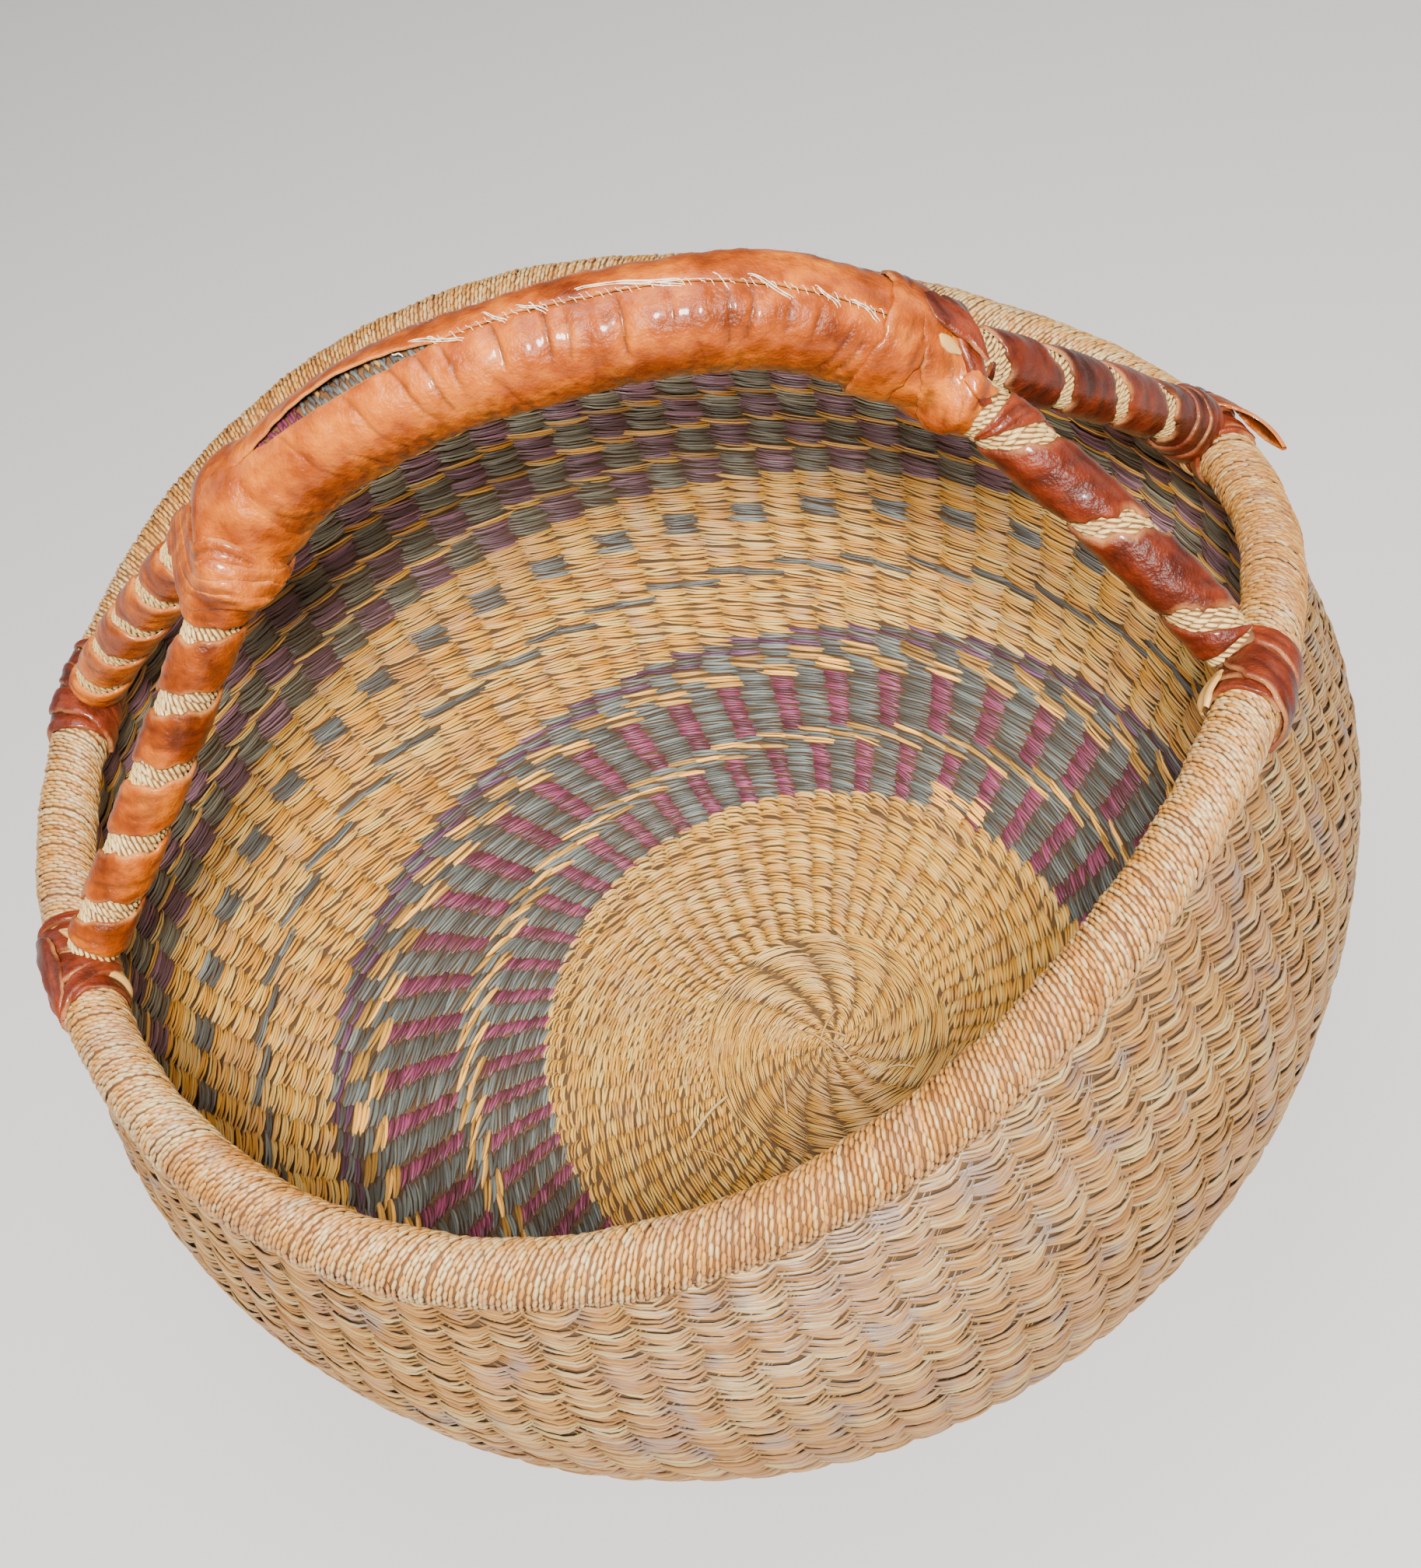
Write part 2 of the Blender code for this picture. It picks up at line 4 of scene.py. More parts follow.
import bpy
import numpy as np
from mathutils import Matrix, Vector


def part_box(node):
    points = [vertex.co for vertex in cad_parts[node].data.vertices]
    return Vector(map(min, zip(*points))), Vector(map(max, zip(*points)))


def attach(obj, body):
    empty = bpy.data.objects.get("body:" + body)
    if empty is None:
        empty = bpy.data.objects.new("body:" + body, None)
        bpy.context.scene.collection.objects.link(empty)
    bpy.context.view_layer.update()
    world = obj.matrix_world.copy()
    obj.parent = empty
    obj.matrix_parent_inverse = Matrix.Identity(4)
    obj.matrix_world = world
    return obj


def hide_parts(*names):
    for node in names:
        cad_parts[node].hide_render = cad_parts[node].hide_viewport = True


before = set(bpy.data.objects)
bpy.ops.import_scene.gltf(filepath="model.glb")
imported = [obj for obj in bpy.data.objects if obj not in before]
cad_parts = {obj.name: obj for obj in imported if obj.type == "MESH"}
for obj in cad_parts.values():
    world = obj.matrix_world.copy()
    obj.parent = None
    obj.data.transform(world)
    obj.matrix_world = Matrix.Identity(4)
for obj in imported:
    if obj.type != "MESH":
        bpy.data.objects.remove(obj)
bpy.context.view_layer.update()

# The studio: the camera stands where the photograph was taken from, above the front edge.
# The basket stands on a pale sheet, under one lamp above the camera and three weaker ones.
CAMERA_PLACE = (0.09505, -0.45975, 0.73945)
CAMERA_TURN = tuple(math.radians(angle) for angle in (38.218, 11.0908, -2.9126))
CAMERA_LENS = 53.571
FLOOR_HALF = 2.5
FLOOR_COLOUR = (0.60, 0.59, 0.575)
LAMPS = {
    "key_lamp": ((0.15, -0.79, 1.22), 0.24, 54.0, (1.0, 0.97, 0.93)),
    "top_lamp": ((0.0, 0.12, 1.50), 0.80, 12.0, (1.0, 0.98, 0.95)),
    "left_lamp": ((-1.30, 0.35, 0.95), 1.00, 4.5, (0.96, 0.98, 1.0)),
    "right_lamp": ((1.25, 0.55, 1.05), 1.00, 4.5, (1.0, 0.98, 0.95)),
}
LAMPS_LOOK_AT = (0.0, 0.0, 0.15)
ROOM_COLOUR = (0.93, 0.95, 1.0)
ROOM_STRENGTH = 0.15


class Socket:
    """An output in a finish, so that the maths of a finish is written as plain sums."""

    def __init__(self, finish, output):
        self.finish = finish
        self.output = output

    def maths(self, operation, first, second):
        return self.finish.add("Math", {"operation": operation}, {0: first, 1: second})

    def __add__(self, other):
        return self.maths("ADD", self, other)

    def __sub__(self, other):
        return self.maths("SUBTRACT", self, other)

    def __rsub__(self, other):
        return self.maths("SUBTRACT", other, self)

    def __mul__(self, other):
        return self.maths("MULTIPLY", self, other)

    def __pow__(self, other):
        return self.maths("POWER", self, other)

    def __gt__(self, other):
        return self.maths("GREATER_THAN", self, other)

    __radd__ = __add__
    __rmul__ = __mul__


class Finish:
    """A material being made: its nodes, and the shader that they feed."""

    def __init__(self, name):
        self.material = bpy.data.materials.new(name)
        self.material.use_nodes = True
        self.tree = self.material.node_tree
        self.shader = self.tree.nodes["Principled BSDF"]

    def feed(self, socket, value):
        """Links a socket to another, or sets it to a number or a colour."""
        if isinstance(value, Socket):
            self.tree.links.new(value.output, socket)
        elif isinstance(value, tuple) and socket.type == "RGBA":
            socket.default_value = (*value, 1)
        else:
            socket.default_value = value

    def add(self, kind, settings, sockets, output=0):
        """Adds a node with its settings, then its sockets, and gives back one output."""
        node = self.tree.nodes.new("ShaderNode" + kind)
        for name, value in settings.items():
            if name == "stops":
                while len(node.color_ramp.elements) < len(value):
                    node.color_ramp.elements.new(1)
                for stop, (place, colour) in zip(node.color_ramp.elements, value):
                    stop.position = place
                    stop.color = (*colour, 1)
            elif name == "interpolation":
                node.color_ramp.interpolation = value
            else:
                setattr(node, name, value)
        for name, value in sockets.items():
            self.feed(node.inputs[name], value)
        return Socket(self, node.outputs[output])

    def mix(self, share, first, second, blend="MIX"):
        """Two colours mixed by a share from 0 to 1."""
        settings = {"data_type": "RGBA", "blend_type": blend}
        return self.add("Mix", settings, {0: share, 6: first, 7: second}, output=2)

    def noise(self, place, scale, detail=3.0):
        """Soft random blotches from 0 to 1."""
        return self.add("TexNoise", {}, {"Vector": place, "Scale": scale, "Detail": detail})

    def spread(self, value, low, high):
        """Spreads what lies from low to high over the whole stretch from 0 to 1."""
        return self.add("MapRange", {}, {0: value, 1: low, 2: high})

    def surface(self, **sockets):
        """Sets the shader's own sockets, and gives back the material."""
        for name, value in sockets.items():
            self.feed(self.shader.inputs[name.replace("_", " ").title().replace("Ior", "IOR")], value)
        return self.material


def aim(thing, place, target):
    """Puts a lamp at a place and turns it to face a target."""
    thing.location = place
    away = np.array(place) - np.array(target)
    away = away / np.linalg.norm(away)
    thing.rotation_euler = (math.acos(away[2]), 0, math.atan2(away[1], away[0]) + math.pi / 2)


camera_data = bpy.data.cameras.new("camera")
camera_data.lens = CAMERA_LENS
camera = bpy.data.objects.new("camera", camera_data)
camera.location = CAMERA_PLACE
camera.rotation_euler = CAMERA_TURN
bpy.context.scene.collection.objects.link(camera)
bpy.context.scene.camera = camera

for lamp_name, (place, size, power, colour) in LAMPS.items():
    lamp_data = bpy.data.lights.new(lamp_name, "AREA")
    lamp_data.shape = "DISK"
    lamp_data.size = size
    lamp_data.energy = power
    lamp_data.color = colour
    lamp = bpy.data.objects.new(lamp_name, lamp_data)
    aim(lamp, place, LAMPS_LOOK_AT)
    bpy.context.scene.collection.objects.link(lamp)

room = bpy.data.worlds.new("room")
room.use_nodes = True
room.node_tree.nodes["Background"].inputs["Color"].default_value = (*ROOM_COLOUR, 1)
room.node_tree.nodes["Background"].inputs["Strength"].default_value = ROOM_STRENGTH
bpy.context.scene.world = room


def piece_from(name, points, faces, material, floats=None, maps=None):
    """A smooth piece from rows of points and four-cornered faces, with numbers per point and maps."""
    mesh = bpy.data.meshes.new(name)
    mesh.vertices.add(len(points))
    mesh.vertices.foreach_set("co", np.asarray(points, np.float32).ravel())
    mesh.loops.add(faces.size)
    mesh.loops.foreach_set("vertex_index", np.asarray(faces, np.int32).ravel())
    mesh.polygons.add(len(faces))
    corners = faces.shape[1]
    mesh.polygons.foreach_set("loop_start", np.arange(len(faces), dtype=np.int32) * corners)
    for label, values in (floats or {}).items():
        attribute = mesh.attributes.new(label, "FLOAT", "POINT")
        attribute.data.foreach_set("value", np.asarray(values, np.float32).ravel())
    for label, places in (maps or {}).items():
        layer = mesh.uv_layers.new(name=label)
        layer.uv.foreach_set("vector", np.asarray(places, np.float32)[faces.ravel()].ravel())
    mesh.update(calc_edges=True)
    mesh.validate()
    mesh.shade_smooth()
    mesh.materials.append(material)
    piece = bpy.data.objects.new(name, mesh)
    bpy.context.scene.collection.objects.link(piece)
    return piece


sheet_finish = Finish("pale_sheet")
sheet_grain = sheet_finish.noise(sheet_finish.add("TexCoord", {}, {}, output=3), 14.0)
pale_sheet = sheet_finish.surface(
    base_color=sheet_finish.mix(sheet_grain * 0.05, FLOOR_COLOUR, (0.50, 0.49, 0.475)),
    roughness=0.85)
floor_corners = FLOOR_HALF * np.array([(-1, -1, 0), (1, -1, 0), (1, 1, 0), (-1, 1, 0)])
piece_from("floor", floor_corners, np.array([[0, 1, 2, 3]]), pale_sheet)

# The woven bowl: 88 stakes of grass stand from the floor to the rim, and pairs of twisted grass
# weavers go round them, one in front of a stake while the other is behind it. Two weavers of
# unlike colour give stripes, dashes and squares inside, with the colours changed over outside.
BOWL_HEIGHT = 0.224
FOOT_RADIUS = 0.083
BELLY_RADIUS = 0.2084
BELLY_HEIGHT = 0.1605
RIM_RADIUS = 0.190
BELLY_POWER = 1.95
SHOULDER_POWER = 1.5
WALL = 0.0055
RIM_OFFSET_X = -0.0092
RIM_OVAL_SHARES = ((2, -0.0121, 0.0216), (3, -0.0048, 0.0258))
RIM_WAVE = 0.0175
RIM_WAVE_SHARES = ((1, 0.457, -0.669), (2, -0.263, -0.960), (3, 0.229, -0.269))
RIM_PULL_POWER = 1.5
# The wall slips sideways by half its thickness where it runs up into the middle of the roll.
ROLL_SLIP = WALL / 2
ROLL_SLIP_FROM = 0.322
ROLL_SLIP_LENGTH = 0.030

STAKES = 88
# The natural wall shows more stakes outside, where new ones were laid in between.
OUTER_STAKES = 98
FIRST_STAKE = math.radians(3.93)
# A round's number, then how far out from the floor's middle it lies, along the inner side:
# the mean, and its swing by the cosine and sine of one turn and of two.
ROUNDS = (
    (46, 0.1074, 0.0109, 0.0053, -0.0031, -0.0027),
    (57, 0.1315, 0.0124, 0.0031, -0.0012, -0.0019),
    (60, 0.1404, 0.0122, 0.0017, -0.0007, -0.0020),
    (71, 0.1633, 0.0089, 0.0019, 0.0007, -0.0002),
    (75, 0.1758, 0.0071, -0.0003, 0.0, 0.0015),
    (78, 0.1826, 0.0058, -0.0002, -0.0002, 0.0022),
    (87, 0.2115, 0.0043, -0.0014, 0.0003, 0.0020),
    (95.5, 0.2377, 0.0020, -0.0019, 0.0007, 0.0019),
    (102, 0.2567, 0.0007, -0.0058, -0.0003, 0.0034),
    (142, 0.3628, 0.0, 0.0, 0.0, 0.0),
)
DISC_ROUNDS = 46
BAND_ROUND = 102
BLOCK_ROUNDS = 5
LAST_ROUND = 139
ROSETTE = (0.0150, 0.0020)
# Stitches in a round of the disc, from the rosette outwards.
DISC_STITCHES = ((3, 9), (20, 18), (43, 60), (DISC_ROUNDS, STAKES))
DISC_LEAN = math.radians(30)
DISC_LEAN_AT = math.radians(135)
DISC_LEAN_WIDTH = math.radians(42)
CENTRE_SHARE = 20 / DISC_ROUNDS
CENTRE_SWIRL = math.radians(-75)
STAKE_LEAN = math.radians(130)
LEAN_BELOW = 0.165

NATURAL, TEAL, PLUM, GOLD, VIOLET, MAUVE, SAGE, SLATE = range(8)
DYE_STEPS = 8
DYE_COLOURS = {
    NATURAL: (0.60, 0.34, 0.11),
    TEAL: (0.074, 0.102, 0.098),
    PLUM: (0.145, 0.026, 0.072),
    GOLD: (0.60, 0.32, 0.058),
    VIOLET: (0.085, 0.042, 0.095),
    MAUVE: (0.165, 0.090, 0.125),
    SAGE: (0.145, 0.155, 0.112),
    SLATE: (0.098, 0.126, 0.120),
}


def smooth(share):
    """Rises from 0 to 1 without a corner."""
    share = np.clip(share, 0, 1)
    return share * share * (3 - 2 * share)


def raw_rim(turn):
    """The rim roll's centre line before the basket is set over its own middle."""
    oval = 1 + sum(c * np.cos(n * turn) + s * np.sin(n * turn) for n, c, s in RIM_OVAL_SHARES)
    wave = sum(c * np.cos(n * turn) + s * np.sin(n * turn) for n, c, s in RIM_WAVE_SHARES)
    radius = RIM_RADIUS * oval
    return np.stack([RIM_OFFSET_X + radius * np.cos(turn), radius * np.sin(turn),
                     BOWL_HEIGHT + RIM_WAVE * wave], -1)


whole_turn = np.linspace(0, 2 * math.pi, 721)
bundle_low, bundle_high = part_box("rim_bundle")
raw_low, raw_high = raw_rim(whole_turn).min(0), raw_rim(whole_turn).max(0)
SHIFT = (np.array(bundle_low) + np.array(bundle_high) - raw_low - raw_high) / 2
SHIFT[2] = 0


def rim_line(turn):
    """The rim roll's centre line."""
    return raw_rim(turn) + SHIFT


def wall_section():
    """The wall's outer line from the floor's middle to the rim, and the way from it to the inner side."""
    stage = np.linspace(0, 2, 1201)
    angle = np.clip(stage, 0, 1) * math.pi / 2
    rise = np.clip(stage - 1, 0, 1)
    belly = FOOT_RADIUS + (BELLY_RADIUS - FOOT_RADIUS) * np.sin(angle) ** (2 / BELLY_POWER)
    radius = np.where(stage < 1, belly, BELLY_RADIUS - (BELLY_RADIUS - RIM_RADIUS) * rise ** SHOULDER_POWER)
    height = np.where(stage < 1, BELLY_HEIGHT * (1 - np.clip(np.cos(angle), 0, 1) ** (2 / BELLY_POWER)),
                      BELLY_HEIGHT + (BOWL_HEIGHT - BELLY_HEIGHT) * rise)
    floor_radius = np.linspace(0, FOOT_RADIUS, 201)[:-1]
    line = np.stack([np.concatenate([floor_radius, radius]),
                     np.concatenate([np.zeros(len(floor_radius)), height])], 1)
    along = np.gradient(line, axis=0)
    along = along / np.linalg.norm(along, axis=1, keepdims=True)
    inward = np.stack([-along[:, 1], along[:, 0]], 1)
    inner = line + WALL * inward
    reach = np.concatenate([[0], np.cumsum(np.linalg.norm(np.diff(inner, axis=0), axis=1))])
    return reach, np.concatenate([line, inward], 1)


WALL_REACH, WALL_TABLE = wall_section()


def wall_point(turn, reach, depth):
    """A point of the wall: depth 0 on its outer side, WALL on its inner side."""
    radius, height, inward_r, inward_z = (np.interp(reach, WALL_REACH, column) for column in WALL_TABLE.T)
    depth = depth - ROLL_SLIP * smooth((reach - ROLL_SLIP_FROM) / ROLL_SLIP_LENGTH)
    pull = (np.clip(height, 0, None) / BOWL_HEIGHT) ** RIM_PULL_POWER
    out = np.stack([np.cos(turn), np.sin(turn), np.zeros_like(turn)], -1)
    place = (radius + depth * inward_r)[..., None] * out
    place[..., 2] = height + depth * inward_z
    round_rim = RIM_RADIUS * out
    round_rim[..., 2] = BOWL_HEIGHT
    return place + pull[..., None] * (raw_rim(turn) - round_rim) + SHIFT


def reach_of(number, turn):
    """How far out a round of the weave lies at a turn, on the wall."""
    table = np.array(ROUNDS)
    mean, cos1, sin1, cos2, sin2 = (np.interp(number, table[:, 0], column) for column in table.T[1:])
    return (mean + cos1 * np.cos(turn) + sin1 * np.sin(turn)
            + cos2 * np.cos(2 * turn) + sin2 * np.sin(2 * turn))


def weave_place(number, turn, aside):
    """The turn and reach of a place in the weave. The disc's rounds close in on its rosette."""
    share = np.minimum(number / DISC_ROUNDS, 1)
    reach = reach_of(np.maximum(number, DISC_ROUNDS), turn) * share + aside
    across = (1 - share) * ROSETTE[0] + reach * np.cos(turn)
    back = (1 - share) * ROSETTE[1] + reach * np.sin(turn)
    return np.arctan2(back, across), np.hypot(across, back)


def dye_of(number, stake):
    """The dye of the weaver that lies inside a stake in a round of the weave."""
    odd = stake % 2
    if 46 <= number < 57:
        return PLUM if odd else TEAL
    if 57 <= number < 60:
        return GOLD if (number + stake) % 2 == 0 else TEAL
    if 60 <= number < 71:
        return TEAL if odd else PLUM
    if 71 <= number < 75:
        return GOLD if (stake + (number - 71) // 2) % 2 == 0 else TEAL
    if 75 <= number < 78:
        return VIOLET if (stake + number) % 2 == 0 else SLATE
    if 86 <= number < 88:
        return SLATE if (stake + number) % 2 == 0 else NATURAL
    if 94 <= number < 97:
        return NATURAL if odd else SLATE
    if number >= BAND_ROUND:
        block, row = divmod(number - BAND_ROUND, BLOCK_ROUNDS)
        if row == BLOCK_ROUNDS - 1:
            return GOLD if (stake + block) % 2 else NATURAL
        return MAUVE if (stake + block) % 2 else SAGE
    return NATURAL


def stitch_rows(first, last, outside):
    """Number, turn, half length in turn, dye and run of every stitch from one round to another."""
    rows = []
    for number in range(first, last):
        count = OUTER_STAKES if outside and number >= 78 else STAKES
        share = 1.0
        if number < DISC_ROUNDS:
            count = next(stitches for below, stitches in DISC_STITCHES if number < below)
            share = (number + 0.5) / DISC_ROUNDS
        for stake in range(count):
            turn = FIRST_STAKE + 2 * math.pi * stake / count
            reach = float(reach_of(max(number, DISC_ROUNDS), turn))
            turn -= STAKE_LEAN * max(LEAN_BELOW - reach, 0) * (1 - math.cos(turn - math.radians(30)))
            turn += DISC_LEAN * (1 - share) * math.exp(-((turn - DISC_LEAN_AT) / DISC_LEAN_WIDTH) ** 2)
            turn += CENTRE_SWIRL * max(CENTRE_SHARE - share, 0)
            if number < DISC_ROUNDS:
                dye = NATURAL
            else:
                dye = dye_of(number, stake + (1 if outside else 0))
            if outside and number >= 78:
                dye = NATURAL
            rows.append((number + 0.5, turn, math.pi / count, dye, stake / count))
    return np.array(rows).T


# A straw of a stitch: stations from end to end, points across its round back, and their drop.
STRAW_STATIONS = np.array([-1.0, -0.72, -0.28, 0.28, 0.72, 1.0])
OUTER_STATIONS = np.array([-1.0, -0.68, -0.28, 0.10, 0.38, 0.68, 1.0])
STRAW_ACROSS = np.array([-1.0, -0.42, 0.42, 1.0])
STRAW_DROP = 1 - np.sqrt(1 - STRAW_ACROSS ** 2)
PALE_PATCH = (math.radians(52), math.radians(7), 0.1225, 0.0050)


def grid_faces(count, rows, columns, loop=False):
    """Four-cornered faces of many grids of points, each of so many rows and columns."""
    row = np.arange(rows - 1)[:, None]
    column = np.arange(columns if loop else columns - 1)[None, :]
    after = (column + 1) % columns
    one = np.stack([row * columns + column, row * columns + after,
                    (row + 1) * columns + after, (row + 1) * columns + column], -1).reshape(-1, 4)
    return (one[None] + (np.arange(count) * rows * columns)[:, None, None]).reshape(-1, 4)


def cell_map(count, rows, columns):
    """A map that gives each grid its own cell, so that every straw keeps its own finish."""
    wide = int(math.ceil(math.sqrt(count)))
    index = np.arange(count)
    u = np.linspace(0.06, 0.94, rows)[None, :, None] + np.zeros((count, 1, columns))
    v = np.linspace(0.06, 0.94, columns)[None, None, :] + np.zeros((count, rows, 1))
    u = (u + (index % wide)[:, None, None]) / wide
    v = (v + (index // wide)[:, None, None]) / wide
    return np.stack([u, v], -1).reshape(-1, 2)


def weave(name, first, last, outside, material, straws, seed):
    """One stretch of the weave, seen from inside or outside: every stitch is a few straws side by side."""
    number, turn, half, dye, around = (np.repeat(column, straws) for column in
                                       stitch_rows(first, last, outside))
    count = len(number)
    lane = np.tile((np.arange(straws) + 0.5) / straws * 2 - 1, count // straws)
    random = np.random.default_rng(seed)

    def shaken(amount):
        return 1 + amount * random.uniform(-1, 1, count)

    def together(amount):
        return np.repeat(random.uniform(-amount, amount, count // straws), straws)

    pitch = reach_of(np.maximum(number, DISC_ROUNDS) + 0.5, turn) - reach_of(
        np.maximum(number, DISC_ROUNDS) - 0.5, turn)
    edge = reach_of(float(DISC_ROUNDS), turn)
    in_disc = number < DISC_ROUNDS
    pitch = np.where(in_disc, edge / DISC_ROUNDS, pitch)
    dashed = (np.floor(number) >= 86) & (np.floor(number) < 88) & (dye == SLATE)
    bold = ((dye == GOLD) | dashed) & (not outside)
    patch_turn, patch_half, patch_reach, patch_deep = PALE_PATCH
    reach = reach_of(np.maximum(number, DISC_ROUNDS), turn)
    pale = (abs(turn - patch_turn) < patch_half) & (abs(reach - patch_reach) < patch_deep) & ~in_disc
    pale = pale & (random.uniform(0, 1, count) < 0.8) & (not outside)
    dye = np.where(pale, GOLD, dye)
    long_share = (1.50 if outside else 1.36) * shaken(0.12) + 0.46 * bold
    if not outside:
        long_share = long_share + 0.20 * (dye == TEAL) - 0.26 * (dye == PLUM)
    slant = (-1.15 if outside else 0.80) * (1 + together(0.3)) * shaken(0.15) + 0.10 * bold
    curl = (2.5 if outside else -0.05) * (1 + together(0.3)) * shaken(0.15)
    width = pitch * ((0.95 if outside else 1.08) - 0.12 * bold) / straws * shaken(0.2)
    thick = np.clip(pitch / 0.0024, 0.8, 1.15) * (1 + together(0.22))
    lift = np.where(bold, 0.0026, np.where(in_disc & outside, 0.0018, 0.0021)) * thick
    lift = lift + 0.0002 * ((dye == TEAL) & (not outside))
    aside = together(0.12) * pitch + 0.10 * pitch * random.uniform(-1, 1, count)
    crossing = 0.16 * random.uniform(-1, 1, count)
    scallop = np.where(in_disc & (number > DISC_ROUNDS - 3), 0.55, 0.0)
    shift = together(0.08) + 0.07 * random.uniform(-1, 1, count)

    stations = OUTER_STATIONS if outside else STRAW_STATIONS
    a = stations[None, :, None]
    b = STRAW_ACROSS[None, None, :]

    def each(values):
        return values[:, None, None]

    bend = np.clip((a - 0.05) / 0.95, 0, 1) ** 1.5 if outside else np.sin(math.pi * a)
    taper = np.clip(1 - np.abs(a) ** 2.6, 0, 1) ** 0.55 * 0.86 + 0.14
    arch = np.clip(1 - np.abs(a) ** 2.2, 0, 1) ** 0.8
    gather = 0.55 if outside else 0.12
    sideways = (each(aside) + each(slant * pitch) * a + each(curl * pitch) * bend
                + each(lane * pitch / 2 * (1 - 0.25 * bold)) * (gather + (1 - gather) * np.sqrt(1 - a * a * 0.999)) + each(crossing * pitch) * a
                + each(scallop * pitch) * (1 - a * a) + b * each(width / 2) * taper)
    crown = each(lift * (1 - 0.28 * lane ** 2)) * arch - 0.0006 * (1 - arch)
    rise = crown - 0.5 * each(width) * taper * STRAW_DROP
    along_turn = each(turn) + (a + each(shift)) * each(half * long_share)
    place_turn, place_reach = weave_place(each(number), along_turn, sideways)
    base, way = (0.0020, -1) if outside else (WALL - 0.0019, 1)
    points = wall_point(place_turn, place_reach, base + way * rise)

    run = np.floor(around * STAKES / 14 + number * 0.37)
    weaver = np.abs(np.sin(run * 12.9898 + number * 78.233) * 43758.5453) % 1
    tone = 0.5 + 0.42 * (weaver - 0.5) + together(0.24) + (0.22 if outside else 0.27) * random.normal(0, 1, count)
    tone = np.clip(tone, 0, 1)
    tone = np.where(pale, 0.9, tone)
    shape = (count, len(stations), len(STRAW_ACROSS))
    length = each(half * long_share) * np.clip(place_reach, 0.02, RIM_RADIUS) * 1000
    straw_x = a * length + each(random.uniform(0, 500, count))
    straw_y = b * each(width) * 500 + each(random.uniform(0, 500, count))
    straw_map = np.stack([np.broadcast_to(straw_x, shape), np.broadcast_to(straw_y, shape)], -1)
    # The end and side masks say where painted shade darkens a straw: at its ends and along its edges.
    floats = {
        "dye": np.broadcast_to(each(dye), shape),
        "tone": np.broadcast_to(each(tone), shape),
        "end": np.broadcast_to(np.abs(a) ** (2.2 if outside or name == "disc_inside" else 4), shape),
        "side": np.broadcast_to(np.abs(b), shape),
    }
    faces = grid_faces(*shape)
    if outside:
        faces = faces[:, ::-1]
    piece = piece_from(name, points.reshape(-1, 3), faces, material, floats,
                       {"strand": straw_map.reshape(-1, 2), "OFBake": cell_map(*shape)})
    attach(piece, "root")
    return piece


def straw_finish(name, pale, middle, deep, painted_shade, grime, rosy, edge_shade_power=2.0):
    """Dry grass: natural colour by the tone of each straw, or its dye, streaked along the fibres, with painted shade
    darkening each straw at its ends and along its edges.
    """
    finish = Finish(name)
    strand = finish.add("UVMap", {"uv_map": "strand"}, {})
    stretched = finish.add("VectorMath", {"operation": "MULTIPLY"}, {0: strand, 1: (0.14, 2.6, 1.0)})
    fibre = finish.noise(stretched, 1.0, 4.0)
    place = finish.add("TexCoord", {}, {}, output=3)
    blotch = finish.noise(place, 24.0, 3.0)
    patch = finish.noise(place, 47.0, 2.0)
    tone = finish.add("Attribute", {"attribute_name": "tone"}, {}, output=2)
    dye = finish.add("Attribute", {"attribute_name": "dye"}, {}, output=2)
    end = finish.add("Attribute", {"attribute_name": "end"}, {}, output=2)
    side = finish.add("Attribute", {"attribute_name": "side"}, {}, output=2)
    shade = finish.spread(tone * 0.62 + fibre * 0.62 - 0.12, 0.0, 1.0)
    natural = finish.add("ValToRGB", {"stops": ((0.0, deep), (0.5, middle), (0.95, pale))}, {0: shade})
    natural = finish.mix(finish.spread(patch, 0.52, 0.70) * rosy, natural, (0.68, 0.33, 0.17))
    grey_patch = finish.noise(place, 75.0, 2.0)
    natural = finish.mix(finish.spread(grey_patch, 0.56, 0.70) * rosy, natural, (0.44, 0.35, 0.32))
    stops = tuple(((code - 0.5) / DYE_STEPS if code else 0.0, colour) for code, colour in DYE_COLOURS.items())
    dyed = finish.add("ValToRGB", {"interpolation": "CONSTANT", "stops": stops}, {0: dye * (1 / DYE_STEPS)})
    light = finish.add("ValToRGB", {"stops": ((0.0, (0.30, 0.30, 0.30)), (0.5, (1.0, 1.0, 1.0)),
                                              (1.0, (3.4, 3.2, 3.1)))}, {0: shade})
    dyed = finish.mix(1.0, dyed, light, "MULTIPLY")
    colour = finish.mix(dye > 0.5, natural, dyed)
    colour = finish.mix(finish.spread(blotch, 0.50, 0.75) * grime, colour, (0.20, 0.125, 0.075))
    # Painted shade: each straw darkens towards a dark colour at its ends, where it dips under its neighbours, and
    # along both edges of its round back.
    colour = finish.mix(end * 0.66, colour, painted_shade)
    colour = finish.mix(side ** edge_shade_power * 0.96, colour, painted_shade)
    relief = finish.add("Bump", {}, {"Strength": 0.5, "Distance": 0.0004, "Height": fibre})
    return finish.surface(base_color=colour, roughness=0.30 + fibre * 0.24, normal=relief,
                          specular_ior_level=0.5)


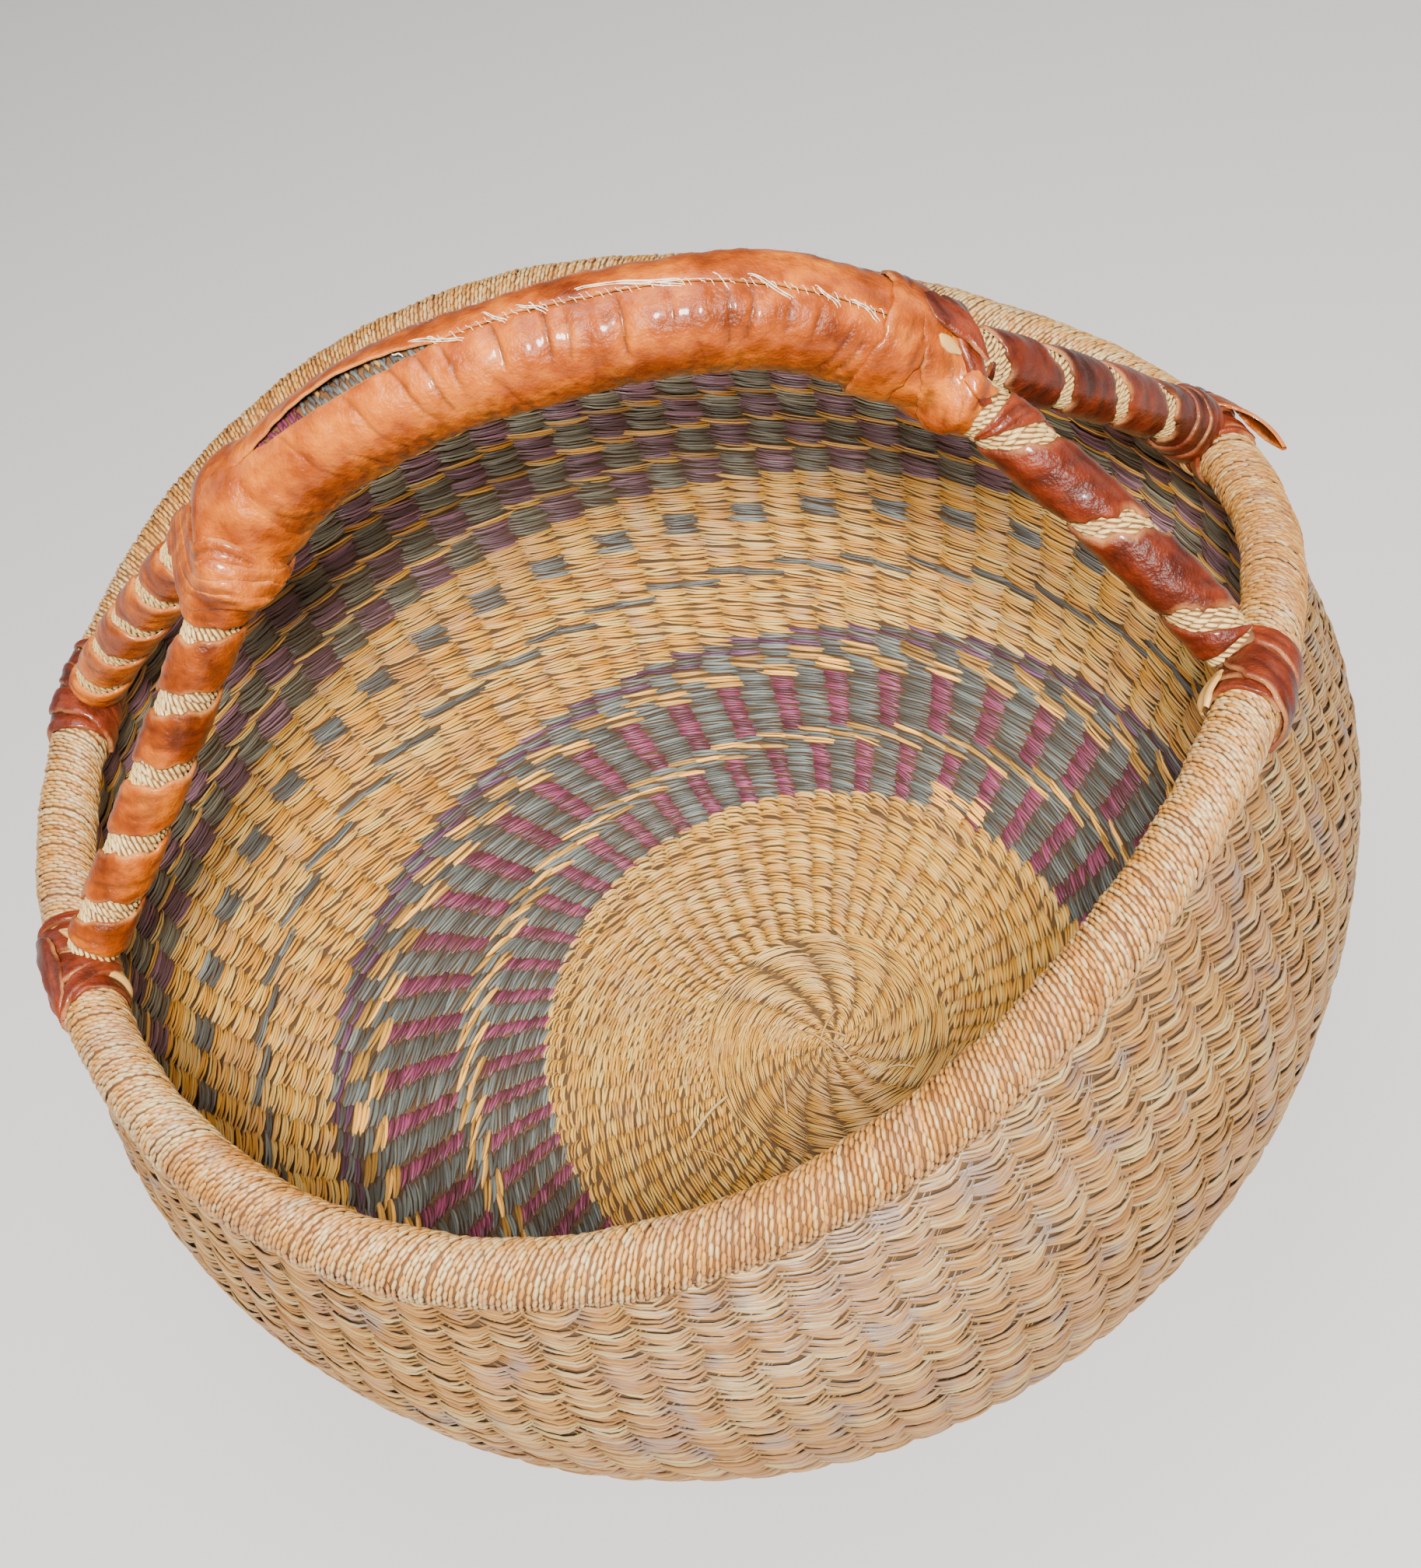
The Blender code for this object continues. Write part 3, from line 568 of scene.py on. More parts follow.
# The fourth colour of each straw finish is the painted shade at its straws' ends and edges; the last number of the
# outer one sets how widely its edges are shaded.
inner_straw = straw_finish("inner_straw", (1.0, 0.79, 0.26), (0.96, 0.46, 0.045), (0.48, 0.165, 0.010),
                           (0.090, 0.034, 0.009), 0.12, 0.35)
disc_straw = straw_finish("disc_straw", (1.0, 0.74, 0.22), (0.88, 0.45, 0.058), (0.46, 0.185, 0.016),
                          (0.160, 0.068, 0.018), 0.30, 0.20)
ribbed_straw = straw_finish("ribbed_straw", (1.0, 0.74, 0.22), (0.92, 0.46, 0.058), (0.46, 0.185, 0.016),
                            (0.070, 0.026, 0.006), 0.30, 0.20)
outer_straw = straw_finish("outer_straw", (1.0, 0.78, 0.33), (0.74, 0.350, 0.070), (0.30, 0.105, 0.014),
                           (0.022, 0.008, 0.003), 0.06, 0.60, 0.95)

# The stakes: a dark sheet between the inner and outer faces of the weave, whose dark brown is painted shade where it
# shows through the gaps between stitches.
shadow_finish = Finish("stake_shade")
shadow_grain = shadow_finish.noise(shadow_finish.add("TexCoord", {}, {}, output=3), 160.0)
stake_shade = shadow_finish.surface(
    base_color=shadow_finish.mix(shadow_grain, (0.045, 0.020, 0.008), (0.16, 0.085, 0.030)),
    roughness=0.9)
stake_turns = np.linspace(0, 2 * math.pi, STAKES, endpoint=False)
stake_reaches = np.concatenate([np.linspace(0.002, 0.09, 12), np.linspace(0.096, 0.352, 52)])
stake_rings = [wall_point(stake_turns, np.full(STAKES, reach), np.full(STAKES, 0.0022))
               for reach in stake_reaches]
stake_rings += [wall_point(stake_turns, np.full(STAKES, reach), np.full(STAKES, WALL - 0.0022))
                for reach in stake_reaches[::-1]]
stakes = piece_from("stakes", np.concatenate(stake_rings), grid_faces(1, len(stake_rings), STAKES, True),
                    stake_shade)
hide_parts("woven_bowl")
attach(stakes, "root")

for part, first, last, finish, straws in (
        ("disc_centre", 0, 20, disc_straw, 4), ("disc", 20, 46, ribbed_straw, 2),
        ("rings", 46, 78, inner_straw, 2), ("lower_wall", 78, 99, inner_straw, 3),
        ("upper_wall", 99, 120, inner_straw, 3), ("under_rim", 120, LAST_ROUND, inner_straw, 3)):
    weave(part + "_inside", first, last, False, finish, straws, 11 + first)
for part, first, last in (("foot", 0, 46), ("low_belly", 46, 72), ("belly", 72, 95),
                          ("shoulder", 95, 118), ("neck", 118, LAST_ROUND)):
    weave(part + "_outside", first, last, True, outer_straw, 2, 211 + first)

# The rim roll: the stake ends and a bundle of grass, wound closely with a twisted cord of pale grass
# that goes through the weave below the roll at every turn, where it makes small knuckles.
ROLL_RADIUS = 0.0088
ROLL_BED_RADIUS = 0.0079
WALL_LEAN = math.radians(22)
ROLL_MOUTH = math.radians(13)
RIM_CORD = {"pitch": 0.0015, "step": 0.0034, "half": 0.0024, "width": 0.00150, "turn": math.radians(16),
            "rise": 0.00050}
RIM_CORD_SLANT = math.radians(19)


def unit(vectors):
    """The vectors at length one."""
    return vectors / np.linalg.norm(vectors, axis=-1, keepdims=True)


def rim_frame(turn):
    """Centre, outward, upward and along directions of the rim roll."""
    step = math.radians(0.5)
    along = unit(rim_line(turn + step) - rim_line(turn - step))
    outward = unit(np.cross(along, np.array([0.0, 0.0, 1.0])))
    return rim_line(turn), outward, np.cross(outward, along), along


def on_rim(first_turn, radius):
    """Reads the rim roll's surface by the distance along it from a turn and the angle round it."""
    step = math.radians(0.5)
    speed = np.linalg.norm(rim_line(first_turn + step) - rim_line(first_turn - step)) / (2 * step)

    def place(distance, angle):
        centre, outward, upward, along = rim_frame(first_turn + distance / speed)
        way = np.cos(angle)[..., None] * outward + np.sin(angle)[..., None] * upward
        return centre + radius * way, way

    return place


def straw_lines(name, middle, up, width, tone, material, seed, dye=0, end_shade=0.0):
    """Many round-backed straws along lines of points, each with its width at every point."""
    count, stations = middle.shape[:2]
    random = np.random.default_rng(seed)
    way = unit(np.gradient(middle, axis=1))
    aside = unit(np.cross(up, way))
    width = np.broadcast_to(width, (count, stations))[..., None, None]
    b = STRAW_ACROSS[None, None, :, None]
    points = middle[:, :, None] + aside[:, :, None] * b * width / 2
    points = points - up[:, :, None] * STRAW_DROP[None, None, :, None] * width * 0.5
    shape = points.shape[:3]
    length = np.concatenate([np.zeros((count, 1)),
                             np.cumsum(np.linalg.norm(np.diff(middle, axis=1), axis=2), axis=1)], 1) * 1000
    straw_x = np.broadcast_to((length + random.uniform(0, 500, (count, 1)))[..., None], shape)
    straw_y = np.broadcast_to(b[..., 0] * width[..., 0] * 500 + random.uniform(0, 500, (count, 1, 1)), shape)
    # Painted shade: each straw darkens towards its ends by the given share, and along its edges by the side mask.
    end = np.abs(np.linspace(-1, 1, stations))[None, :, None] ** 3 * end_shade
    floats = {"dye": np.broadcast_to(np.reshape(dye, (-1, 1, 1)), shape),
              "tone": np.broadcast_to(np.reshape(tone, (count, -1, 1)), shape),
              "end": np.broadcast_to(end, shape),
              "side": np.broadcast_to(np.abs(b[..., 0]), shape)}
    piece = piece_from(name, points.reshape(-1, 3), grid_faces(*shape), material, floats,
                       {"strand": np.stack([straw_x, straw_y], -1).reshape(-1, 2), "OFBake": cell_map(*shape)})
    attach(piece, "root")
    return piece


def cord_strokes(name, surface, distance, angle, girth, cord, hand, material, tone, seed, dye=0):
    """The short slanted straws that show along the turns of a twisted cord wound round something."""
    count = len(distance)
    random = np.random.default_rng(seed)
    t = np.linspace(-1, 1, 5)[None, :]
    turned = cord["turn"] * (1 + 0.15 * random.normal(0, 1, (count, 1)))
    half = cord["half"] * (1 + 0.12 * random.uniform(-1, 1, (count, 1)))
    swing = t + 0.22 * np.sin(math.pi * t)
    far = distance[:, None] + hand * half * np.sin(turned) * swing
    around = angle[:, None] + half * np.cos(turned) * t / girth
    foot, way = surface(far, around)
    lift = cord["rise"] * (1.05 * (1 - np.abs(t) ** 2.4) - 0.55) * (1 + 0.2 * random.uniform(-1, 1, (count, 1)))
    width = cord["width"] * (np.clip(1 - np.abs(t) ** 2.5, 0, 1) ** 0.6 * 0.85 + 0.15)
    width = width * (1 + 0.15 * random.uniform(-1, 1, (count, 1)))
    middle = foot + lift[..., None] * way
    return straw_lines(name, middle, way, width, tone, material, seed + 1, dye, end_shade=0.9)


def tube(name, surface, distances, columns, material, depth=0.0, floats=None):
    """An open tube on a surface, sunk below it by a depth."""
    distance, angle = np.meshgrid(distances, np.linspace(0, 2 * math.pi, columns, endpoint=False),
                                  indexing="ij")
    foot, way = surface(distance, angle)
    points = (foot - depth * way).reshape(-1, 3)
    piece = piece_from(name, points, grid_faces(1, len(distances), columns, True), material, floats)
    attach(piece, "root")
    return piece


# Its fourth colour is painted shade at the straws' ends and edges; its last number sets how widely the edges are
# shaded.
wrapping_straw = straw_finish("wrapping_straw", (1.0, 0.80, 0.38), (0.88, 0.400, 0.072), (0.40, 0.130, 0.015),
                              (0.055, 0.016, 0.003), 0.05, 0.25, 1.1)
# The bed under every wound cord: a dark sheet whose colour is painted shade where it shows between the cord's
# straws.
bed_finish = Finish("bed_shade")
bed_grain = bed_finish.noise(bed_finish.add("TexCoord", {}, {}, output=3), 220.0)
bed_shade = bed_finish.surface(
    base_color=bed_finish.mix(bed_grain, (0.10, 0.036, 0.010), (0.26, 0.110, 0.034)), roughness=0.85)

rim_length = np.linalg.norm(np.diff(rim_line(whole_turn), axis=0), axis=1).sum()
rim_reach = rim_length / (2 * math.pi)


def whole_rim(distance, angle):
    """The rim roll's surface by the distance round the whole rim."""
    centre, outward, upward, along = rim_frame(distance / rim_reach)
    way = np.cos(angle)[..., None] * outward + np.sin(angle)[..., None] * upward
    return centre + ROLL_RADIUS * way, way


def rim_winding():
    """Every turn of the cord round the rim roll, from below its inner side over to its outer foot."""
    random = np.random.default_rng(31)
    turns = int(rim_length / RIM_CORD["pitch"])
    start = WALL_LEAN - math.pi / 2 + ROLL_MOUTH
    arc = 2 * math.pi - 2 * ROLL_MOUTH
    strokes = int(arc * ROLL_RADIUS / RIM_CORD["step"])
    number = np.repeat(np.arange(turns), strokes)
    place = np.tile(np.arange(strokes), turns) + 0.5 * (number % 2) + random.uniform(-0.12, 0.12, len(number))
    angle = start + (place + 0.25) * arc / strokes
    slant = np.tan(RIM_CORD_SLANT + np.repeat(random.normal(0, 0.006, turns), strokes))
    shaken = np.repeat(random.uniform(-0.2, 0.2, turns), strokes)
    distance = (number + shaken) * rim_length / turns + slant * ROLL_RADIUS * (angle - start - arc / 2)
    run = np.floor(number / 34)
    tone = 0.56 + 0.40 * (np.abs(np.sin(run * 12.99) * 437.5) % 1 - 0.5)
    tone = tone + np.repeat(random.normal(0, 0.12, turns), strokes) + random.normal(0, 0.20, len(number))
    lumps = 0.00035 * np.sin(distance * 150 + 1) * np.sin(distance * 61)
    lumps = lumps + np.repeat(random.uniform(-0.0002, 0.0002, turns), strokes) + 0.00015 * (number % 2)
    knuckle = 0.0013 * np.exp(-((angle - start) / 0.30) ** 2) * (number % 2)

    def surface(far, around):
        foot, way = whole_rim(far, around)
        return foot + (lumps + knuckle)[picked][:, None, None] * way, way

    for side, picked in (("front", number < turns // 2), ("back", number >= turns // 2)):
        side_piece = cord_strokes("rim_winding_" + side, surface, distance[picked], angle[picked], ROLL_RADIUS,
                                  RIM_CORD, 1, wrapping_straw,
                                  np.clip(tone[picked], 0, 1), 32)
        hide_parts("rim_wrapping")


rim_winding()
rim_bed = tube("rim_bed", whole_rim, np.linspace(0, rim_length, 361), 28, bed_shade,
               ROLL_RADIUS - ROLL_BED_RADIUS)
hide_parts("rim_bundle")

# The grip: a thick bundle of grass bound with dyed straw, which shows where the sleeve's seam has
# burst at the left. It follows one arch, high in the middle, and forks at both ends.
GRIP_HEIGHT = 0.357
GRIP_TOP_X = 0.013
GRIP_LEFT_REACH, GRIP_LEFT_DROP = 0.108, 0.0336
GRIP_RIGHT_REACH, GRIP_RIGHT_DROP = 0.075, 0.0306
GRIP_TURN = math.radians(2.6)
ARCH_POWER = 2.48
GRIP_RADIUS = 0.0150
CORE_RADIUS = 0.0130
CORE_CORD = {"pitch": 0.0015, "step": 0.0042, "half": 0.0030, "width": 0.0014, "turn": math.radians(16),
             "rise": 0.0004}
PLUM_STRETCH = (0.0175, 0.034)
UP = np.array([0.0, 0.0, 1.0])


class Route:
    """A centre line with its own cross directions, read by the distance along it."""

    def __init__(self, points, first_side):
        self.points = points
        self.distance = np.concatenate([[0], np.cumsum(np.linalg.norm(np.diff(points, axis=0), axis=1))])
        self.length = self.distance[-1]
        self.along = unit(np.gradient(points, self.distance, axis=0))
        sides = [unit(first_side - first_side @ self.along[0] * self.along[0])]
        for along in self.along[1:]:
            sides.append(unit(sides[-1] - sides[-1] @ along * along))
        self.side = np.array(sides)

    def at(self, distance):
        """Centre, two cross directions and the direction along, straight on past either end."""
        held = np.clip(distance, 0, self.length)
        centre, side, along = (np.stack([np.interp(held, self.distance, column) for column in table.T], -1)
                               for table in (self.points, self.side, self.along))
        along = unit(along)
        side = unit(side - (side * along).sum(-1, keepdims=True) * along)
        return centre + (distance - held)[..., None] * along, side, np.cross(along, side), along


def on_route(route, radius):
    """Reads the surface of a round bundle by the distance along it and the angle round it."""
    def place(distance, angle):
        centre, side, other, along = route.at(distance)
        way = np.cos(angle)[..., None] * side + np.sin(angle)[..., None] * other
        return centre + radius * way, way

    return place


across = np.linspace(-GRIP_LEFT_REACH, GRIP_RIGHT_REACH, 161)
grip_drop = np.where(across < 0, GRIP_LEFT_DROP, GRIP_RIGHT_DROP)
grip_reach = np.where(across < 0, GRIP_LEFT_REACH, GRIP_RIGHT_REACH)
grip = Route(np.stack([(GRIP_TOP_X + across) * math.cos(GRIP_TURN), (GRIP_TOP_X + across) * math.sin(GRIP_TURN),
                       GRIP_HEIGHT - grip_drop * (np.abs(across) / grip_reach) ** ARCH_POWER], -1) + SHIFT, UP)


def grip_binding():
    """The dyed straw wound round the grip's bundle."""
    random = np.random.default_rng(71)
    turns = int(grip.length / CORE_CORD["pitch"])
    strokes = int(2 * math.pi * CORE_RADIUS / CORE_CORD["step"])
    number = np.repeat(np.arange(turns), strokes)
    angle = (np.tile(np.arange(strokes), turns) + np.repeat(random.uniform(0, 1, turns), strokes))
    angle = angle * 2 * math.pi / strokes
    distance = (number + angle / (2 * math.pi)) * CORE_CORD["pitch"]
    distance = distance + 0.0004 * random.uniform(-1, 1, len(number))
    plum = (distance > PLUM_STRETCH[0]) & (distance < PLUM_STRETCH[1])
    tone = np.clip(0.72 + random.normal(0, 0.16, len(number)), 0, 1)
    piece = cord_strokes("grip_binding", on_route(grip, CORE_RADIUS), distance, angle, CORE_RADIUS, CORE_CORD,
                         1, wrapping_straw, tone, 72,
                         np.where(plum, PLUM, np.where(random.uniform(0, 1, len(number)) < 0.85, SLATE, NATURAL)))
    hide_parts("grip_core")


grip_binding()
tube("grip_bed", on_route(grip, CORE_RADIUS), np.linspace(0, grip.length, 60), 24, bed_shade,
     0.0008)

# The sleeve: one sheet of tan goatskin rolled round the bundle and sewn edge to edge with pale
# thread. Use has creased it across, and its underside is dark and pebbled.
SLEEVE_THICKNESS = 0.0014
# Along the grip in mm, then the angle of the seam from straight up towards the front in degrees.
SEAM_LINE = ((0, 15), (72, 15), (95, 12), (131, 17), (152, 24), (178, 33), (200, 37))
SEAM_GAP = 0.0006
SPLIT_WIDTH = 0.0052
SPLIT_START, SPLIT_END = 0.018, 0.072
# Creases: where along the grip in mm, first and last angle and slant in degrees and mm, and depth in mm.
CREASES = ((9, 25, 110, 7, 0.20), (27, 22, 105, 10, 0.28), (47, 24, 118, 9, 0.30), (60, 18, 95, 9, 0.40),
           (67.5, 20, 88, 7, 0.50), (74, 20, 70, 5, 0.45), (87, 16, 62, 3, 0.60), (99.5, 14, 70, 1, 0.60),
           (105, 24, 74, -1, 0.40), (118, 20, 82, 1, 0.65), (130, 24, 60, 0, 0.30), (142.5, 26, 84, 2, 0.50),
           (148.5, 28, 78, -2, 0.65), (157, 34, 74, -2, 0.35), (164, 36, 76, -3, 0.35), (172, 58, 114, -8, 0.55),
           (176, 60, 116, -8, 0.45), (83, 60, 118, 12, 0.25), (110, 74, 116, -6, 0.20), (40, 70, 128, 14, 0.25),
           (135, 70, 118, 5, 0.22), (30, 190, 300, 6, 0.4), (62, 200, 320, -4, 0.4), (90, 180, 310, 3, 0.5),
           (121, 190, 330, 5, 0.4), (150, 200, 320, -6, 0.5), (170, 190, 300, 2, 0.4))


def ripple(places, wavelength, seed, waves=10):
    """Smooth random bumps over places, mostly from -1 to 1."""
    random = np.random.default_rng(seed)
    ways = unit(random.normal(size=(waves, places.shape[-1]))) * random.uniform(0.7, 1.4, (waves, 1))
    starts = random.uniform(0, 2 * math.pi, waves)
    return np.sin(places @ ways.T * (2 * math.pi / wavelength) + starts).sum(-1) / math.sqrt(waves)


def leather_finish(name, pale, middle, deep, raw, dark):
    """Oiled goatskin: blotched colour, dark pebbled mottles on the underside, painted shade in the creases, pale cut
    edges, fine grain and gloss.
    """
    finish = Finish(name)
    place = finish.add("TexCoord", {}, {}, output=3)
    blotch = finish.noise(place, 42.0, 4.0)
    patch = finish.noise(place, 130.0, 4.0)
    speck = finish.noise(place, 310.0, 3.0)
    grain = finish.noise(place, 1300.0, 2.0)
    crease = finish.add("Attribute", {"attribute_name": "crease"}, {}, output=2)
    under = finish.add("Attribute", {"attribute_name": "under"}, {}, output=2)
    edge = finish.add("Attribute", {"attribute_name": "edge"}, {}, output=2)
    shade = finish.spread(blotch * 0.6 + patch * 0.4, 0.36, 0.64)
    colour = finish.add("ValToRGB", {"stops": ((0.0, deep), (0.5, middle), (1.0, pale))}, {0: shade})
    mottle = under * finish.spread(speck * 0.5 + patch * 0.5, 0.40, 0.60)
    colour = finish.mix(mottle * 0.8, colour, dark)
    # Painted shade: the leather darkens along the floor of each crease.
    colour = finish.mix(crease * 0.75, colour, dark)
    colour = finish.mix(edge, colour, raw)
    relief = finish.add("Bump", {}, {"Strength": 0.7, "Distance": 0.0007,
                                     "Height": grain * 0.5 + speck * 1.6 + patch * 1.6})
    return finish.surface(base_color=colour, roughness=0.34 + patch * 0.18 + edge * 0.30, normal=relief,
                          specular_ior_level=0.25, coat_weight=0.22, coat_roughness=0.10)


tan_leather = leather_finish("tan_leather", (0.60, 0.150, 0.004), (0.32, 0.057, 0.0016), (0.115, 0.017, 0.001),
                             (0.52, 0.20, 0.045), (0.045, 0.010, 0.003))
dark_leather = leather_finish("dark_leather", (0.22, 0.032, 0.007), (0.115, 0.014, 0.003), (0.045, 0.006, 0.002),
                              (0.42, 0.17, 0.055), (0.018, 0.005, 0.002))


def window(value, low, high, soft):
    """One between low and high, falling smoothly to nothing outside."""
    return smooth((value - low) / soft + 0.5) * smooth((high - value) / soft + 0.5)


def sleeve():
    """The sheet round the grip, from its front lip right round to its back lip."""
    stations = np.linspace(-0.004, grip.length + 0.002, 330)
    lip = np.array([(0.50, -1.00), (0.16, -1.00), (0.0, -0.75), (-0.02, -0.4), (0.0, -0.12), (0.03, 0.0)])
    middle = np.linspace(0.07, 1, 70, endpoint=False)
    seam = np.radians(np.interp(stations * 1000, *np.array(SEAM_LINE).T))
    share = (stations - SPLIT_START) / (SPLIT_END - SPLIT_START)
    bulge = np.where((share > 0) & (share < 1), np.sin(np.clip(share, 0, 1) * math.pi) ** 0.8, 0)
    opening = (SEAM_GAP + (SPLIT_WIDTH - SEAM_GAP) * bulge) / GRIP_RADIUS / 2
    first = seam + opening
    last = seam - opening + 2 * math.pi
    inner = np.array([0.0] * len(middle))
    angle = np.concatenate([first[:, None] + lip[:, 0], first[:, None] + 0.07 + (middle - 0.07) / 0.93
                            * (last - first - 0.14)[:, None], last[:, None] - lip[::-1, 0]], 1)
    depth = np.concatenate([lip[:, 1], inner, lip[::-1, 1]])[None, :] * SLEEVE_THICKNESS
    distance = np.broadcast_to(stations[:, None], angle.shape)
    mm = distance * 1000
    degrees = np.degrees(angle)
    places = np.stack([mm, np.cos(angle) * 15, np.sin(angle) * 15], -1)
    rise = 0.00030 * ripple(places, 34, 5) + 0.00017 * ripple(places * (1, 0.35, 0.35), 5.5, 6)
    # The crease mask marks where painted shade darkens the floor of each crease.
    crease = np.zeros(angle.shape)
    for place, low, high, slant, deep in CREASES:
        off = mm - place - slant * (degrees - low) / 100 - 0.5 * np.sin((degrees - low) / 13)
        inside = window(degrees, low, high, 16)
        rise = rise - deep * 0.001 * (np.exp(-(off / 0.75) ** 2) + 0.5 * np.exp(-(off / 3.2) ** 2)) * inside
        rise = rise + deep * 0.0003 * np.exp(-((np.abs(off) - 5) / 3) ** 2) * inside
        crease = np.maximum(crease, np.exp(-(off / 0.55) ** 2) * inside * min(1.6 * deep + 0.1, 1))
    under = window(degrees, 92, 320, 46)
    rise = rise + under * 0.00016 * ripple(places, 2.6, 7)
    near_back_lip = np.exp(-((last[:, None] - angle) / 0.30) ** 2)
    near_front_lip = np.exp(-((angle - first[:, None]) / 0.30) ** 2)
    rise = rise + near_back_lip * bulge[:, None] * 0.0017 - near_front_lip * 0.0003 * (1 - bulge[:, None])
    edge = np.where(depth < -0.1 * SLEEVE_THICKNESS, 0.75, 0.0) + 0.0 * angle
    edge = edge * (0.4 + 0.6 * bulge[:, None])
    centre, side, other, along = grip.at(distance)
    way = np.cos(angle)[..., None] * side + np.sin(angle)[..., None] * other
    points = centre + (GRIP_RADIUS + depth + rise)[..., None] * way
    piece = piece_from("sleeve", points.reshape(-1, 3), grid_faces(1, *angle.shape), tan_leather,
                       {"crease": crease, "under": under, "edge": edge})
    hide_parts("grip_sleeve")
    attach(piece, "root")


sleeve()

# The sewing thread: pale twisted cotton. Small stitches hold the seam, and the loose ends of long
# stitches lie over the sheet where the seam was drawn together again.
THREAD = 0.00055
# Both ends of each long stitch: along the grip in mm, angle from straight up in degrees.
LONG_STITCHES = ((108.4, 0, 134.6, 21), (117, 6, 134, 17), (140, 9, 143.5, 30), (147.6, 13, 157.6, 37),
                 (162.3, 21, 168.6, 38), (170.7, 27, 178.6, 41), (66, 3, 80.7, 24), (93.8, 4, 101.5, 20),
                 (85.4, 1, 91.5, 20), (62.3, 10, 65, 17), (71.5, 8, 75, 17), (97, 6, 99.5, 18))


def thread():
    """Every stitch of the seam, as thin round threads that dip into the leather at both ends."""
    random = np.random.default_rng(81)
    seam_mm, seam_degrees = np.array(SEAM_LINE).T
    small = np.arange(73, 181, 2.3)
    at = np.interp(small, seam_mm, seam_degrees)
    rows = [(s - 0.9, a - 4.5, s + 0.9, a + 4.5, 0.55) for s, a in zip(small + random.uniform(-0.4, 0.4, len(small)), at)]
    rows += [(*stitch, 1.0) for stitch in LONG_STITCHES]
    for s1, a1, s2, a2 in LONG_STITCHES:
        if s2 - s1 > 5:
            rows.append((s1 + 0.5, a1 + 2.5, s2 - 0.6, a2 + 2.0, 0.8))
    rows = np.array(rows)
    t = np.linspace(0, 1, 14)[None, :]
    distance = (rows[:, 0:1] + (rows[:, 2:3] - rows[:, 0:1]) * t) / 1000
    angle = np.radians(rows[:, 1:2] + (rows[:, 3:4] - rows[:, 1:2]) * t + 1.2 * np.sin(t * 7 + rows[:, 0:1]))
    foot, way = on_route(grip, GRIP_RADIUS)(distance, angle)
    lift = (4 * t * (1 - t)) ** 0.4 * 0.0009 * rows[:, 4:5] - 0.0002
    width = THREAD * rows[:, 4:5] * (0.75 + 0.25 * np.sin(t * 60))
    straw_lines("seam_thread", foot + lift[..., None] * way, way, width, np.full(len(rows), 0.98),
                thread_cotton, 82)


# Its fourth colour is painted shade along the threads' edges.
thread_cotton = straw_finish("thread_cotton", (1.0, 0.88, 0.66), (0.80, 0.60, 0.36), (0.48, 0.27, 0.11),
                             (0.30, 0.14, 0.06), 0.0, 0.0)
thread()


def back_hairs():
    """The goat's hairs, left standing along the sleeve's far edge."""
    random = np.random.default_rng(91)
    count = 420
    distance = np.concatenate([random.uniform(0.045, 0.112, 300), random.uniform(0.0, 0.19, count - 300)])
    angle = np.radians(random.uniform(-52, -22, count))
    foot, way = on_route(grip, GRIP_RADIUS)(distance[:, None], angle[:, None])
    lean = unit(random.normal(0, 0.5, (count, 1, 3)) + way)
    length = random.uniform(0.0006, 0.0021, (count, 1, 1))
    t = np.linspace(0, 1, 4)[None, :, None]
    middle = foot - 0.0003 * way + length * t * (lean * (1 - 0.3 * t) + 0.3 * t * UP)
    straw_lines("back_hairs", middle, unit(way + 0 * middle + 0.3), 0.00020 * (1 - 0.6 * t[..., 0]),
                random.uniform(0.2, 0.9, count), hair, 92)


# Its fourth colour is painted shade along the hairs' edges.
hair = straw_finish("goat_hair", (0.70, 0.34, 0.16), (0.40, 0.14, 0.05), (0.18, 0.05, 0.02),
                    (0.10, 0.03, 0.01), 0.0, 0.0)
back_hairs()

# The legs: four bundles of grass, two at each end of the grip, wound with twisted cord. They leave
# the fork side by side and come down onto the rim roll.
LEG_RADIUS = 0.0076
LEG_SPACING = 0.0157
LEG_TOP_PULL = 0.026
LEG_UPWARD_BOW = 0.008
LEG_INWARD_BOW = 0.004
LEG_FOOT_SHARE = 0.35
FORK_GAP = 0.0003
LEG_CORD = {"pitch": 0.0027, "step": 0.0020, "half": 0.0022, "width": 0.00135, "turn": math.radians(34),
            "rise": 0.0005}
# Each leg: where it stands, how it bows, and where its strip starts, which way round, and its pitch.
LEGS = {
    "left_front": (200.3, 0.31, -0.12, 1.0, 187, 1, 1.0),
    "left_back": (167.0, 0.54, 0.88, -0.5, 27, 1, 0.93),
    "right_front": (-18.5, 0.92, 0.75, 0.25, 203, -1, 1.44),
    "right_back": (22.5, 1.0, 1.0, -0.75, 143, 1, 1.25),
}
LEG_STRIP_PITCH = 0.0243
STRAW_BAND = 0.0070
COLLAR_ON_GRIP = {"left": 0.0081, "right": 0.018}
COLLAR_ON_LEGS = {"left": 0.022, "right": 0.01606}


